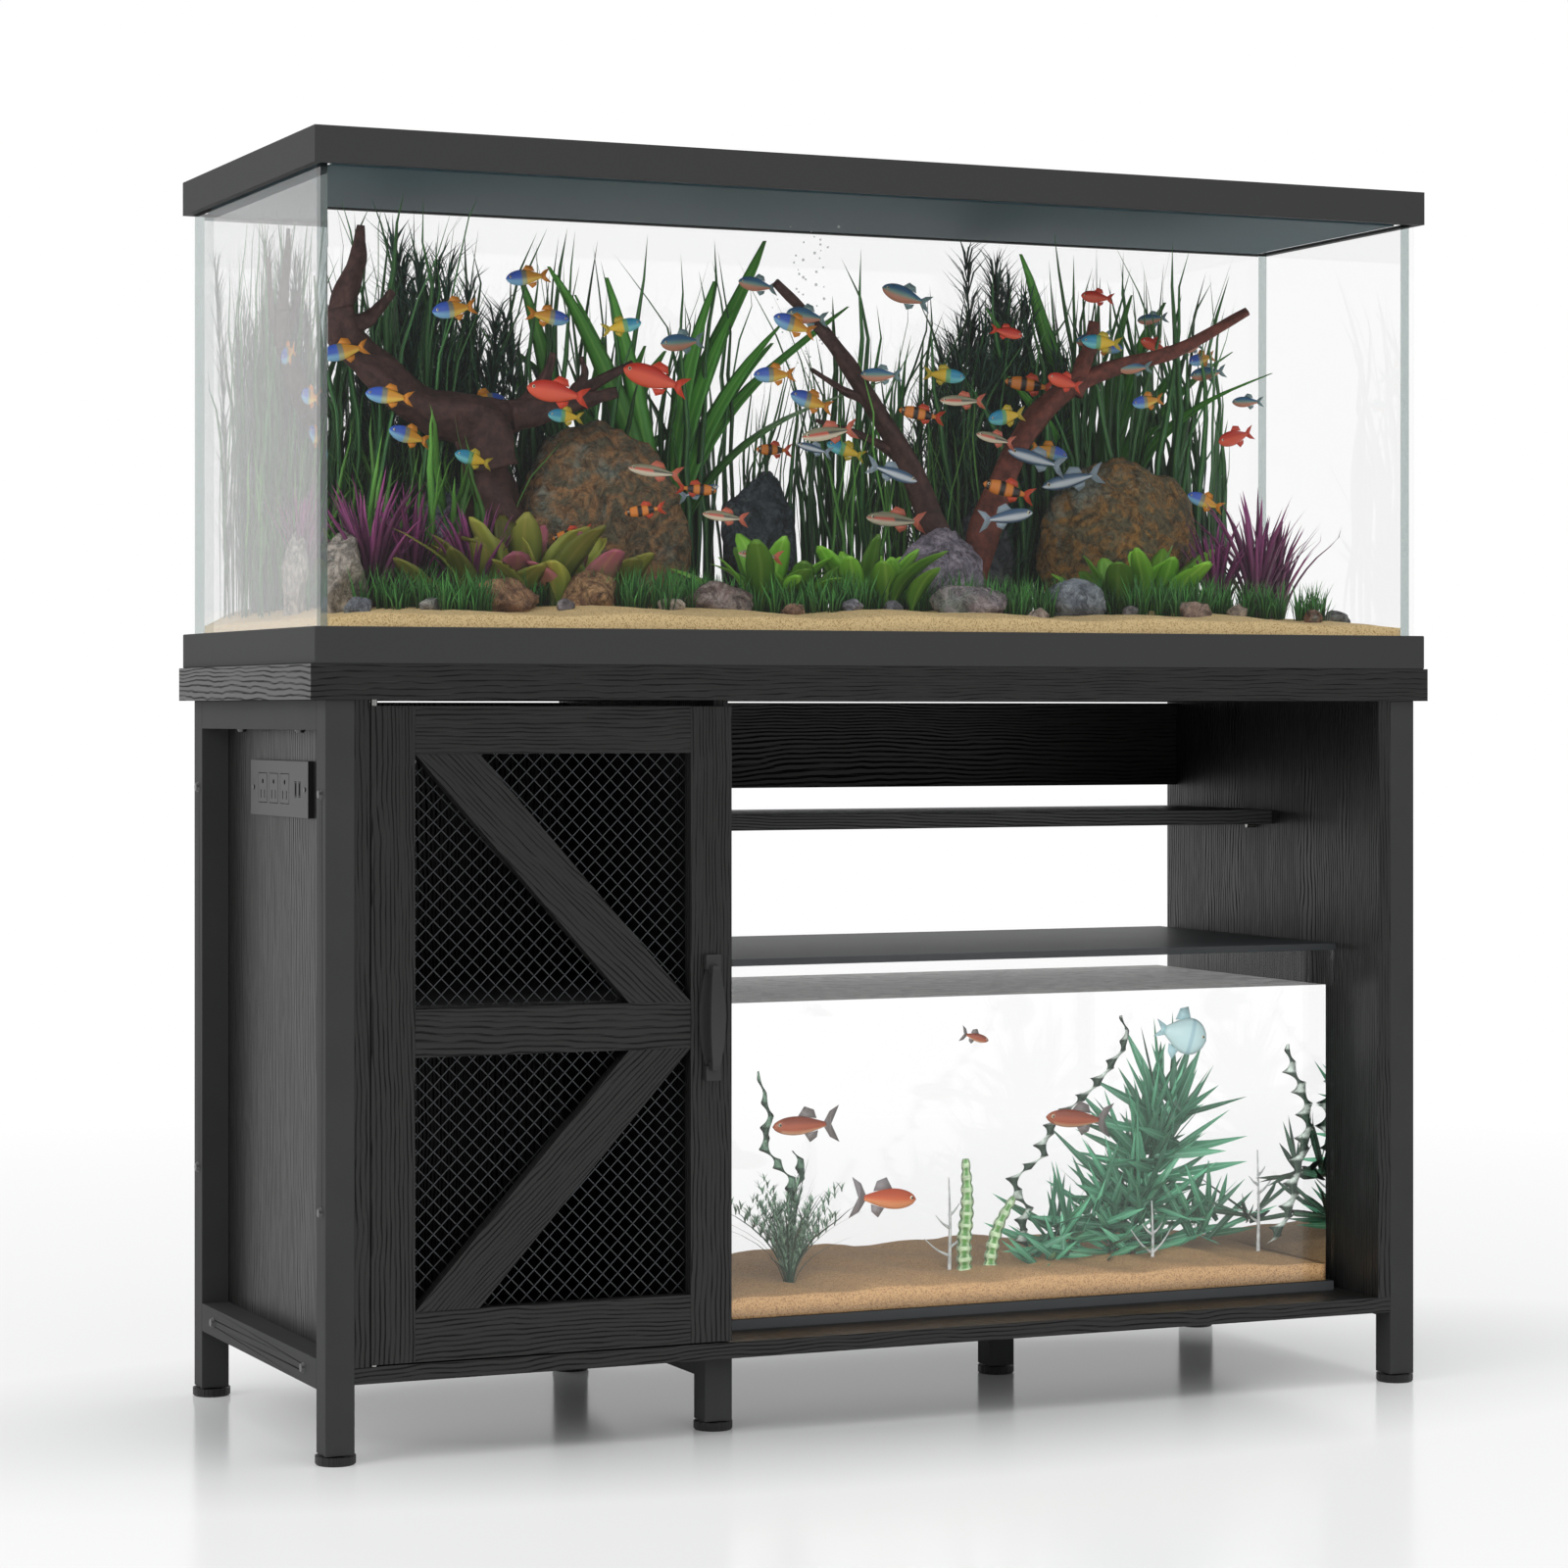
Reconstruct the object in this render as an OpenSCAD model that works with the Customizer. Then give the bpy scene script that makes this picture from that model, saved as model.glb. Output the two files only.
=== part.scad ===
// Aquarium on a steel-framed stand, with a smaller tank in the right bay.
// Millimetres. X runs along the width, Y from front to back, Z up from the floor.
// The origin is the middle of the whole outline, on the floor.

/* [Upper tank] */
// Width over the tank's rims
tank_w = 1232; // [1160:1:1300]
// Depth over the tank's rims
tank_d = 462; // [430:1:500]
// Height of the tank over both rims
tank_h = 508.8; // [430:0.1:600]
// Height of the base rim
base_band = 35.5; // [25:0.5:50]
// Height of the top rim
top_band = 34.8; // [30:0.1:50]
// Wall of both rims outside the glass
band_wall = 8; // [6:0.5:12]
// Width of the base rim's ledge under the glass
base_ledge = 20; // [16:1:30]
// Height of that ledge
ledge_t = 6; // [4:0.5:10]
// Thickness of the glass
glass_t = 10; // [8:0.5:13]
// Thickness of the silicone between the panes
seam_t = 1; // [0.5:0.1:2]
// Thickness of the top rim's flange over the glass
flange_t = 3; // [2:0.5:4]
// How far the flange reaches in past the glass
flange_lap = 4; // [2:0.5:8]

/* [Tank cover] */
// Thickness of the cover's plate
plate_t = 4.5; // [4:0.1:5]
// Clearance round the cover's plate
plate_gap = 0.6; // [0.4:0.1:1.5]
// Clearance between the plate and the flange it lies on
seat_gap = 0.3; // [0.2:0.1:0.5]
// Wall of the cover's tray
tray_wall = 2.5; // [2:0.5:4]
// Clearance between the tray and the flange
tray_gap = 2; // [1.5:0.5:4]
// Radius of the cover's pivot pins
lid_pin_r = 1.5; // [1:0.1:1.6]
// Length of the pins inside the cover
lid_pin_grip = 12; // [8:1:20]
// Length of each corner block that holds a pin
pin_block = 10; // [8:1:14]
// Length of the finger slot in the cover
slot_w = 90; // [70:1:120]
// Width of the finger slot
slot_d = 22; // [18:1:30]
// Distance from the cover's front edge to the finger slot
slot_edge = 24; // [20:1:60]

/* [Stand] */
// Height of the tabletop's upper face above the floor
stand_h = 760; // [650:1:900]
// Overhang of the tabletop past each end of the tank
top_lap = 4; // [2:0.5:20]
// Thickness of the tabletop
top_t = 34; // [24:1:44]
// Distance from the tabletop's end in to the legs
frame_in = 15.5; // [5:0.5:30]
// Distance from the tabletop's front and rear edges in to the legs
frame_back = 3.5; // [1:0.5:10]
// Side of the square steel tube
tube = 29; // [26:0.5:34]
// Wall of the steel tube
tube_wall = 1.5; // [1.2:0.1:2.5]
// Height of the bottom side rails' undersides above the floor
rail_z = 69.5; // [60:0.5:120]
// Height from the bottom rails' undersides up to the bottom board
board_lift = 6.5; // [4:0.5:8]
// Thickness of the bottom board
board_t = 16; // [14:1:18]
// Thickness of the side panels and the divider
panel_t = 15; // [14:0.5:18]

/* [Short legs] */
// Distance from the frame's front in to the middle front leg
mid_leg_in = 29; // [10:1:80]
// Distance from the divider's middle to the middle legs
mid_leg_shift = 3; // [0:1:20]
// Height of the rail between the middle legs
mid_rail_h = 23; // [18:1:29]
// Place of the single support leg along the right bay, from the divider
prop_leg_x = 409; // [200:1:500]
// Side of the support leg's flange
flange_w = 60; // [50:1:80]
// Thickness of that flange
prop_flange_t = 3; // [2:0.5:5]

/* [Feet] */
// Radius of a levelling foot
foot_r = 19.5; // [16:0.5:24]
// Height of a levelling foot
foot_h = 8.5; // [7:0.5:14]
// Bevel under the foot's rim
foot_bevel = 1.5; // [1:0.5:3]
// Gap between a foot and its leg
foot_gap = 1; // [0.5:0.5:8]
// Radius of a foot's stem
stem_r = 5; // [4:0.5:6]
// Radial clearance of the stem in its plug
stem_gap = 0.06; // [0.02:0.01:0.1]
// Height of the threaded plug in a leg
plug_h = 18; // [14:1:30]

/* [Bolts] */
// Radius of the bolts
bolt_r = 3; // [2.5:0.1:3.5]
// Clearance round the bolts
bolt_gap = 0.2; // [0.1:0.1:0.5]
// Radius of a bolt's head
head_r = 5.5; // [4.5:0.5:6]
// Height of a bolt's head
head_h = 3; // [2:0.5:4]
// Depth of the bolts in the panels
bolt_bite = 12; // [8:1:13]
// Distance from the tabletop down to the upper bolts
upper_bolt_drop = 90; // [60:1:150]
// Height of the lower leg bolts above the floor
lower_bolt_z = 239; // [180:1:320]
// Distance from the middle of the depth to the rail bolts
rail_bolt_y = 157; // [80:1:165]
// Distance from the middle of the depth to the screws that hold the top
top_screw_y = 100; // [40:1:150]

/* [Cabinet] */
// Inner width of the left bay
left_bay = 361.5; // [320:0.5:420]
// Distance from the frame's rear to the front of the back panels
back_in = 21.5; // [18:0.5:40]
// Thickness of the panel behind the left bay
back_t = 5; // [3:0.5:12]
// Gap between the back panels and the tabletop
back_gap = 1.5; // [0.5:0.5:4]
// Radius of the cable hole in the left back panel
cable_r = 12.5; // [8:0.5:25]
// Distance from the tabletop down to the cable hole
cable_drop = 62; // [40:1:120]
// Height of the strip behind the right bay
strip_h = 94.2; // [60:0.1:110]
// Thickness of that strip
strip_t = 15; // [12:0.5:18]
// Height of the left shelf's upper face above the bottom board
left_shelf_z = 340; // [200:1:420]
// Distance from the frame's front to the left shelf
left_shelf_in = 24; // [18:1:80]
// Distance from the tabletop down to the right shelf's upper face
right_shelf_drop = 120; // [112:1:130]
// Distance from the frame's front to the right shelf
right_shelf_in = 218; // [120:1:260]
// Thickness of both shelves
shelf_t = 16; // [14:1:20]
// Clearance at the ends of the shelves
shelf_gap = 0.4; // [0.2:0.1:1]
// Radius of the shelf pins
pin_r = 2.5; // [2:0.1:3]
// Depth of the shelf pins in the panels
pin_bite = 6.5; // [5:0.5:7]
// Length of the shelf pins under the shelves
pin_out = 10; // [6:0.5:16]
// Distance from a shelf's edges to its pins
pin_edge = 40; // [20:1:60]

/* [Door] */
// Thickness of the door's frame
door_t = 15; // [14:0.5:18]
// Gap between the door and the left side panel
door_gap = 1.3; // [1.2:0.1:3]
// Gap under the door
door_low_gap = 1.5; // [1.2:0.1:4]
// Gap above the door
door_top_gap = 6; // [3:0.5:10]
// Gap between the door and the divider
door_back_gap = 1; // [0.5:0.1:3]
// How far the door laps over the divider
door_lap = 12.5; // [10:0.5:13]
// Width of the door's stiles
stile_w = 44; // [36:1:60]
// Width of the top and middle rails
rail_w = 46; // [36:1:60]
// Width of the door's bottom rail
low_rail_w = 48; // [36:1:60]
// Height of the middle rail's centre above the door's lower edge
mid_rail_z = 313.5; // [260:0.5:360]
// Width of the braces along the rails
brace_run = 65; // [40:1:80]
// Bevel of the door's hinge edge
door_bevel = 1; // [0.5:0.5:2]
// Distance between neighbouring wires of the mesh
mesh_pitch = 11.2; // [9:0.1:20]
// Thickness of the mesh wires
wire = 1; // [0.8:0.1:1.6]
// Gap between the two layers of wires
wire_gap = 0.02; // [0.01:0.01:0.1]
// How far the mesh laps over the door's frame
mesh_lap = 8; // [5:1:14]

/* [Door pivots] */
// Distance from the door's two faces at the hinge corner to the pivot
pivot_in = 3.5; // [3:0.1:4]
// Radius of the pivot pins
pivot_r = 2; // [1.5:0.1:2]
// Running clearance round the pivot pins
pivot_gap = 0.06; // [0.02:0.01:0.1]
// Length of the pivot plates
leaf_w = 42; // [30:1:43]
// Depth of the pivot plates
leaf_d = 11; // [9:0.5:12]
// Thickness of the pivot plates
leaf_t = 3; // [2:0.5:4]
// Clearance between a pivot plate's boss and the door's plate
boss_gap = 0.3; // [0.2:0.1:0.5]
// Length of the pins inside the door
pivot_bite = 10; // [8:1:16]

/* [Catch] */
// Width of the magnet catch
catch_w = 11; // [8:0.5:14]
// Depth of the magnet catch
catch_d = 20; // [14:1:30]
// Height of the magnet catch
catch_h = 40; // [30:1:60]
// Distance from the tabletop down to the catch
catch_drop = 60; // [40:1:120]
// Thickness of the strike plate
strike_t = 0.8; // [0.6:0.1:1.2]

/* [Handle] */
// Length over the handle's lugs
handle_h = 124; // [110:1:160]
// Width of the handle's lugs
lug_w = 15.6; // [12:0.1:18]
// Height of each lug
lug_h = 14.5; // [10:0.5:18]
// Depth of each lug
lug_d = 6; // [5:0.5:9]
// How far the grip stands out from the door
grip_out = 18; // [16:0.5:28]
// Rise of the grip's bow from its ends to its middle
grip_bow = 4.5; // [3:0.5:8]
// Thickness of the grip
grip_t = 4; // [3:0.5:5]
// Width of the grip at its ends
grip_end_w = 8; // [6:0.5:10]
// Width of the leaf-shaped plate at its middle
leaf_mid_w = 26.6; // [20:0.1:36]
// Thickness of that plate
leaf_plate_t = 1.5; // [1:0.1:2.5]

/* [Power outlet] */
// Length of the outlet's plate
outlet_w = 196; // [180:1:210]
// Height of the outlet's plate
outlet_h = 56; // [50:1:70]
// Thickness of the outlet's plate
outlet_t = 6; // [4:0.5:8]
// Distance from the tabletop down to the middle of the outlet
outlet_drop = 88; // [70:1:140]
// Side of a socket's face
socket_w = 29; // [26:0.5:32]
// Distance between neighbouring sockets
socket_pitch = 37.7; // [34:0.1:40]
// Distance from the plate's middle back to the middle socket
socket_shift = 18; // [14:1:20]
// Width of a charging port's face
port_w = 5; // [4:0.5:6]
// Height of a charging port's face
port_h = 14; // [12:0.5:16]
// Distance between the two charging ports
port_pitch = 13; // [9:0.5:14]
// Distance from the plate's middle forward to the charging ports
port_shift = 63; // [60:0.5:66]
// Dark gap round each socket
socket_gap = 0.6; // [0.4:0.1:1]
// Depth of the box behind the plate
box_deep = 40; // [30:1:60]
// Wall of that box
box_wall = 2; // [1.5:0.5:3]
// Clearance round the box in the side panel
box_gap = 1; // [0.5:0.5:3]
// Radius of the cord gland
gland_r = 7; // [5:0.5:10]
// Length of the cord gland
gland_l = 14; // [8:1:24]

/* [Lower tank] */
// Distance from each side of the right bay to the lower tank
low_side_gap = 11.75; // [5:0.25:40]
// Distance from the board's front edge to the lower tank
low_front_in = 70.5; // [40:0.5:120]
// Distance from the board's rear edge to the lower tank
low_rear_in = 2; // [0:0.5:60]
// Height of the lower tank without its lid
low_h = 366; // [250:1:400]
// Thickness of the lower tank's walls
low_glass = 6; // [5:0.5:8]
// Thickness of the lower tank's bottom pane
low_base = 10; // [8:0.5:12]
// Thickness of the lower tank's lid
low_lid_t = 7; // [5:0.5:8]
// Clearance under the lower tank's lid
low_lid_gap = 0.3; // [0.2:0.1:0.5]
// Overhang of the lower tank's lid
low_lid_lap = 1.5; // [0.5:0.5:4]

/* [Planting] */
// Depth of the sand at the glass
sand_edge = 28; // [20:1:40]
// Rise of the sand from the glass to its crown
sand_rise = 20; // [10:1:30]
// Clearance between the sand and the glass
sand_gap = 0.4; // [0.2:0.1:1]
// Depth of the lower tank's sand
low_sand = 17; // [10:1:30]
// Number of tall grass blades in each half of the upper tank
grass_count = 16; // [8:1:40]
// Number of leaves on each sword plant
sword_count = 8; // [5:1:16]
// Number of blades in each low tuft
tuft_count = 7; // [5:1:14]

/* [Hidden] */
eps = 0.01;      // overshoot of a cut past a face
round_fn = 64;   // facets asked for on true circles

// Stand
top_w = tank_w + 2 * top_lap;
top_d = tank_d;
half_w = top_w / 2 - frame_in;        // outer faces of the legs
half_d = top_d / 2 - frame_back;      // front and rear faces of the legs
top_z = stand_h - top_t;              // underside of the tabletop
leg_z = foot_h + foot_gap;            // lower ends of the legs
leg_x = half_w - tube / 2;            // centre lines of the corner legs
leg_y = half_d - tube / 2;
panel_out = half_w - tube;            // outer faces of the side panels
panel_in = panel_out - panel_t;
board_z = rail_z + board_lift;        // underside of the bottom board
floor_z = board_z + board_t;          // upper face of the bottom board
plug_w = tube - 2 * tube_wall;

// Cabinet
divider_l = -panel_in + left_bay;     // left face of the divider
divider_r = divider_l + panel_t;
back_y = half_d - back_in;            // front faces of the back panels
divider_y = -half_d + door_t + door_back_gap;
mid_x = (divider_l + divider_r) / 2 + mid_leg_shift;
mid_leg_y = -half_d + mid_leg_in + tube / 2;
prop_x = divider_r + prop_leg_x;
prop_y = 8;                           // the support leg stands close to the middle of the depth
shelf_l_z = floor_z + left_shelf_z;
shelf_r_z = top_z - right_shelf_drop;
bay_mid = (-panel_in + divider_l) / 2;

// Door
door_l = -panel_in + door_gap;
door_r = divider_l + door_lap;
door_z0 = floor_z + door_low_gap;
door_z1 = top_z - door_top_gap;
door_back = -half_d + door_t;
pivot_x = door_l + pivot_in;
pivot_y = -half_d + pivot_in;
open_l = door_l + stile_w;            // opening inside the door's frame
open_r = door_r - stile_w;
mid_lo = door_z0 + mid_rail_z - rail_w / 2;
mid_hi = mid_lo + rail_w;
handle_x = door_r - stile_w / 2;
handle_z = (mid_lo + mid_hi) / 2 + 6.5;

// Whole outline from front to back, which sets the origin
reach_front = half_d + grip_out;
reach_back = top_d / 2;
shift_y = (reach_front - reach_back) / 2;

// Upper tank
glass_w = tank_w / 2 - band_wall;     // outer faces of the panes
glass_d = tank_d / 2 - band_wall;
in_w = glass_w - glass_t;             // inner faces of the panes
in_d = glass_d - glass_t;
glass_z = stand_h + ledge_t;          // lower edges of the panes
tank_top = stand_h + tank_h;
rim_z = tank_top - top_band;          // lower edge of the top rim
pane_z = glass_z + glass_t;           // upper face of the bottom pane
flange_z = tank_top - plate_t - seat_gap - 0.3;   // the plate lies 0.3 below the rim's top
flange_w_in = in_w - flange_lap;      // opening inside the flange
flange_d_in = in_d - flange_lap;
lid_axis_y = glass_d - plate_gap - plate_t / 2;
lid_axis_z = flange_z + seat_gap + plate_t / 2;
water_h = rim_z - pane_z;

// Lower tank
low_w = panel_in - divider_r - 2 * low_side_gap;
low_x = (panel_in + divider_r) / 2;
low_y0 = -half_d + low_front_in;
low_y1 = half_d - low_rear_in;
low_y = (low_y0 + low_y1) / 2;
low_d = low_y1 - low_y0;
low_top = floor_z + low_h;
low_in_w = low_w / 2 - low_glass;     // inner faces of its walls
low_in_d = low_d / 2 - low_glass;
low_pane_z = floor_z + low_base;

// Everything is drawn about the frame's centre and moved to the outline's centre.
module place() { translate([0, shift_y, 0]) children(); }

// A box from its low corner to its high corner.
module span(lo, hi) { translate(lo) cube(hi - lo); }

// Cylinders along X and Y from a point, with a signed length.
module rod_x(p, r, l) { translate(p) rotate([0, l > 0 ? 90 : -90, 0]) cylinder(r = r, h = abs(l), $fn = round_fn); }
module rod_y(p, r, l) { translate(p) rotate([l > 0 ? -90 : 90, 0, 0]) cylinder(r = r, h = abs(l), $fn = round_fn); }
module rod_z(p, r, l) { translate(p) cylinder(r = r, h = l, $fn = round_fn); }

// A repeatable number from 0 to 1 for the loose shapes of nature.
function chance(i, k) = let(v = sin(i * 127.1 + k * 311.7) * 43.7585) v - floor(v);

// Steel frame ------------------------------------------------------------------------------------

// An upright square tube, open at both ends, from z0 to z1.
module upright(x, y, z0, z1) {
    difference() {
        span([x - tube / 2, y - tube / 2, z0], [x + tube / 2, y + tube / 2, z1]);
        span([x - plug_w / 2, y - plug_w / 2, z0 - eps], [x + plug_w / 2, y + plug_w / 2, z1 + eps]);
    }
}

// A square tube along the depth between the legs, with its underside at z.
module depth_rail(x, y0, y1, z, h) {
    difference() {
        span([x - tube / 2, y0, z], [x + tube / 2, y1, z + h]);
        span([x - plug_w / 2, y0 - eps, z + tube_wall], [x + plug_w / 2, y1 + eps, z + h - tube_wall]);
    }
}

leg_bolt_z = [lower_bolt_z, top_z - upper_bolt_drop];

module side_legs(side) {
    color("#464646") place() for (y = [-leg_y, leg_y]) difference() {
        upright(side * leg_x, y, leg_z, top_z);
        for (z = leg_bolt_z)
            rod_x([side * (panel_out - 1), y, z], bolt_r + bolt_gap, side * (tube + 2));
    }
}

module left_legs() { side_legs(-1); }
module right_legs() { side_legs(1); }

module side_rails(side) {
    run = half_d - tube;
    color("#464646") place() {
        difference() {
            depth_rail(side * leg_x, -run, run, rail_z, tube);
            for (y = [-rail_bolt_y, rail_bolt_y])
                rod_x([side * (panel_out - 1), y, board_z + board_t / 2], bolt_r + bolt_gap, side * (tube + 2));
        }
        difference() {
            depth_rail(side * leg_x, -run, run, top_z - tube, tube);
            for (y = [-top_screw_y, top_screw_y])
                rod_z([side * leg_x, y, top_z - tube - 1], bolt_r + bolt_gap, tube + 2);
        }
    }
}

module left_rails() { side_rails(-1); }
module right_rails() { side_rails(1); }

module middle_legs() {
    color("#464646") place() for (y = [mid_leg_y, leg_y]) upright(mid_x, y, leg_z, board_z);
}

module middle_rail() {
    color("#464646") place()
        depth_rail(mid_x, mid_leg_y + tube / 2, leg_y - tube / 2, board_z - mid_rail_h, mid_rail_h);
}

module support_leg() {
    color("#464646") place() {
        upright(prop_x, prop_y, leg_z, board_z - prop_flange_t);
        span([prop_x - flange_w / 2, prop_y - flange_w / 2, board_z - prop_flange_t],
             [prop_x + flange_w / 2, prop_y + flange_w / 2, board_z]);
    }
}

foot_spots = [[-leg_x, -leg_y], [-leg_x, leg_y], [leg_x, -leg_y], [leg_x, leg_y],
              [mid_x, mid_leg_y], [mid_x, leg_y], [prop_x, prop_y]];

module leg_plugs() {
    color("#202020") place() for (p = foot_spots) difference() {
        span([p[0] - plug_w / 2, p[1] - plug_w / 2, leg_z], [p[0] + plug_w / 2, p[1] + plug_w / 2, leg_z + plug_h]);
        rod_z([p[0], p[1], leg_z - 1], stem_r + stem_gap, plug_h + 2);
    }
}

module foot(i) {
    stem_top = leg_z + plug_h - 2;
    color("#2a2a2a") place() translate([foot_spots[i][0], foot_spots[i][1], 0])
        rotate_extrude($fn = round_fn)
            polygon([[0, 0], [foot_r - foot_bevel, 0], [foot_r, foot_bevel], [foot_r, foot_h],
                     [stem_r, foot_h], [stem_r, stem_top], [0, stem_top]]);
}

module foot_front_left() { foot(0); }
module foot_rear_left() { foot(1); }
module foot_front_right() { foot(2); }
module foot_rear_right() { foot(3); }
module foot_middle_front() { foot(4); }
module foot_middle_rear() { foot(5); }
module foot_support() { foot(6); }

// A domed bolt along +Z, with the underside of its head at the origin.
module bolt(l) {
    translate([0, 0, -head_h]) cylinder(r1 = head_r * 0.7, r2 = head_r, h = head_h, $fn = round_fn);
    cylinder(r = bolt_r, h = l, $fn = round_fn);
}

module frame_bolts() {
    reach = tube + bolt_bite;
    color("#303030") place() {
        for (side = [-1, 1]) {
            for (y = [-leg_y, leg_y]) for (z = leg_bolt_z)
                translate([side * half_w, y, z]) rotate([0, -90 * side, 0]) bolt(reach);
            for (y = [-rail_bolt_y, rail_bolt_y])
                translate([side * half_w, y, board_z + board_t / 2]) rotate([0, -90 * side, 0]) bolt(reach);
            for (y = [-top_screw_y, top_screw_y])
                translate([side * leg_x, y, top_z - tube]) bolt(reach);
        }
    }
}

// Boards -----------------------------------------------------------------------------------------

// Recess for a pivot plate, and the plate itself.
module leaf_box(z0, z1) {
    span([-panel_in, pivot_y - pivot_in + 0.5, z0], [-panel_in + leaf_w, pivot_y - pivot_in + 0.5 + leaf_d, z1]);
}

module tabletop() {
    color("#3a3a38") place() difference() {
        span([-top_w / 2, -top_d / 2, top_z], [top_w / 2, top_d / 2, stand_h]);
        for (x = [-leg_x, leg_x]) for (y = [-top_screw_y, top_screw_y])
            rod_z([x, y, top_z - 1], bolt_r + eps, bolt_bite + 1.5);
        leaf_box(top_z - 1, top_z + leaf_t);
    }
}

module bottom_board() {
    color("#31312f") place() difference() {
        span([-panel_out, -half_d, board_z], [panel_out, half_d, floor_z]);
        for (side = [-1, 1]) for (y = [-rail_bolt_y, rail_bolt_y])
            rod_x([side * (panel_out + 1), y, board_z + board_t / 2], bolt_r + eps, -side * (bolt_bite + 1.5));
        leaf_box(floor_z - leaf_t, floor_z + 1);
    }
}

// Pin holes of one shelf in a panel whose face is at x; the pins lie against the shelf's underside.
function pin_ys(front_in) = [-half_d + front_in + pin_edge, back_y - pin_edge];
module pin_holes(x, side, front_in, z) {
    for (y = pin_ys(front_in)) rod_x([x - side, y, z - shelf_t - pin_r], pin_r + eps, side * (pin_bite + 1.2));
}

module side_panel(side) {
    difference() {
        span([side < 0 ? -panel_out : panel_in, -half_d, floor_z], [side < 0 ? -panel_in : panel_out, half_d, top_z]);
        for (y = [-leg_y, leg_y]) for (z = leg_bolt_z)
            rod_x([side * (panel_out + 1), y, z], bolt_r + eps, -side * (bolt_bite + 1.5));
    }
}

outlet_z = top_z - outlet_drop;
box_w = outlet_w - 22;
box_h = outlet_h - 14;

module left_side_panel() {
    color("#6a6a68") place() difference() {
        side_panel(-1);
        pin_holes(-panel_in, -1, left_shelf_in, shelf_l_z);
        span([-panel_out - 1, -box_w / 2 - box_gap, outlet_z - box_h / 2 - box_gap],
             [-panel_in + 1, box_w / 2 + box_gap, outlet_z + box_h / 2 + box_gap]);
    }
}

module right_side_panel() {
    color("#31312f") place() difference() {
        side_panel(1);
        pin_holes(panel_in, 1, right_shelf_in, shelf_r_z);
    }
}

module divider() {
    color("#31312f") place() difference() {
        span([divider_l, divider_y, floor_z], [divider_r, back_y + strip_t, top_z]);
        pin_holes(divider_l, 1, left_shelf_in, shelf_l_z);
        pin_holes(divider_r, -1, right_shelf_in, shelf_r_z);
    }
}

module left_back_panel() {
    color("#2a2a28") place() difference() {
        span([-panel_in, back_y, floor_z], [divider_l, back_y + back_t, top_z - back_gap]);
        rod_y([bay_mid, back_y - 1, top_z - cable_drop], cable_r, back_t + 2);
    }
}

module back_strip() {
    color("#2a2a28") place()
        span([divider_r, back_y, top_z - back_gap - strip_h], [panel_in, back_y + strip_t, top_z - back_gap]);
}

module shelf(x0, x1, y0, y1, z) {
    span([x0 + shelf_gap, y0, z - shelf_t], [x1 - shelf_gap, y1, z]);
}

module left_shelf() {
    color("#31312f") place() shelf(-panel_in, divider_l, -half_d + left_shelf_in, back_y, shelf_l_z);
}

module right_shelf() {
    color("#3a3a3a") place() shelf(divider_r, panel_in, -half_d + right_shelf_in, back_y + strip_t, shelf_r_z);
}

module shelf_pins() {
    l = pin_bite + pin_out;
    color("#b0b0b0") place() {
        for (y = pin_ys(left_shelf_in)) {
            rod_x([-panel_in - pin_bite, y, shelf_l_z - shelf_t - pin_r], pin_r, l);
            rod_x([divider_l + pin_bite, y, shelf_l_z - shelf_t - pin_r], pin_r, -l);
        }
        for (y = pin_ys(right_shelf_in)) {
            rod_x([divider_r - pin_bite, y, shelf_r_z - shelf_t - pin_r], pin_r, l);
            rod_x([panel_in + pin_bite, y, shelf_r_z - shelf_t - pin_r], pin_r, -l);
        }
    }
}

// Door -------------------------------------------------------------------------------------------

// The cabinet's pivot plates, let into the board and the tabletop, each with a boss and a pin.
module pivot_plates() {
    color("#8a8a8a") place() {
        leaf_box(floor_z - leaf_t, floor_z);
        rod_z([pivot_x, pivot_y, floor_z], pivot_in - 0.1, door_low_gap - boss_gap);
        rod_z([pivot_x, pivot_y, floor_z - leaf_t], pivot_r, leaf_t + door_low_gap + pivot_bite);
        leaf_box(top_z, top_z + leaf_t);
        rod_z([pivot_x, pivot_y, door_z1 + boss_gap], pivot_in - 0.1, door_top_gap - boss_gap);
        rod_z([pivot_x, pivot_y, door_z1 - pivot_bite], pivot_r, pivot_bite + door_top_gap + leaf_t);
    }
}

module door_leaf(z0, z1) {
    span([door_l + 0.5, -half_d + 0.5, z0], [door_l + 0.5 + leaf_w, -half_d + 0.5 + leaf_d, z1]);
}

module door_pivot_leaves() {
    color("#8a8a8a") place() for (z = [door_z0, door_z1 - leaf_t]) difference() {
        door_leaf(z, z + leaf_t);
        rod_z([pivot_x, pivot_y, z - 1], pivot_r + pivot_gap, leaf_t + 2);
    }
}

module door_left_stile() {
    x1 = door_l + stile_w;
    color("#2f2f2d") place() difference() {
        translate([0, 0, door_z0]) linear_extrude(door_z1 - door_z0)
            polygon([[door_l + door_bevel, -half_d], [x1, -half_d], [x1, door_back], [door_l, door_back],
                     [door_l, -half_d + door_bevel]]);
        door_leaf(door_z0 - 1, door_z0 + leaf_t);
        door_leaf(door_z1 - leaf_t, door_z1 + 1);
        rod_z([pivot_x, pivot_y, door_z0 - 1], pivot_r + 0.5, pivot_bite + 2);
        rod_z([pivot_x, pivot_y, door_z1 - pivot_bite - 1], pivot_r + 0.5, pivot_bite + 2);
    }
}

module door_right_stile() {
    color("#2f2f2d") place() span([open_r, -half_d, door_z0], [door_r, door_back, door_z1]);
}

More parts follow.
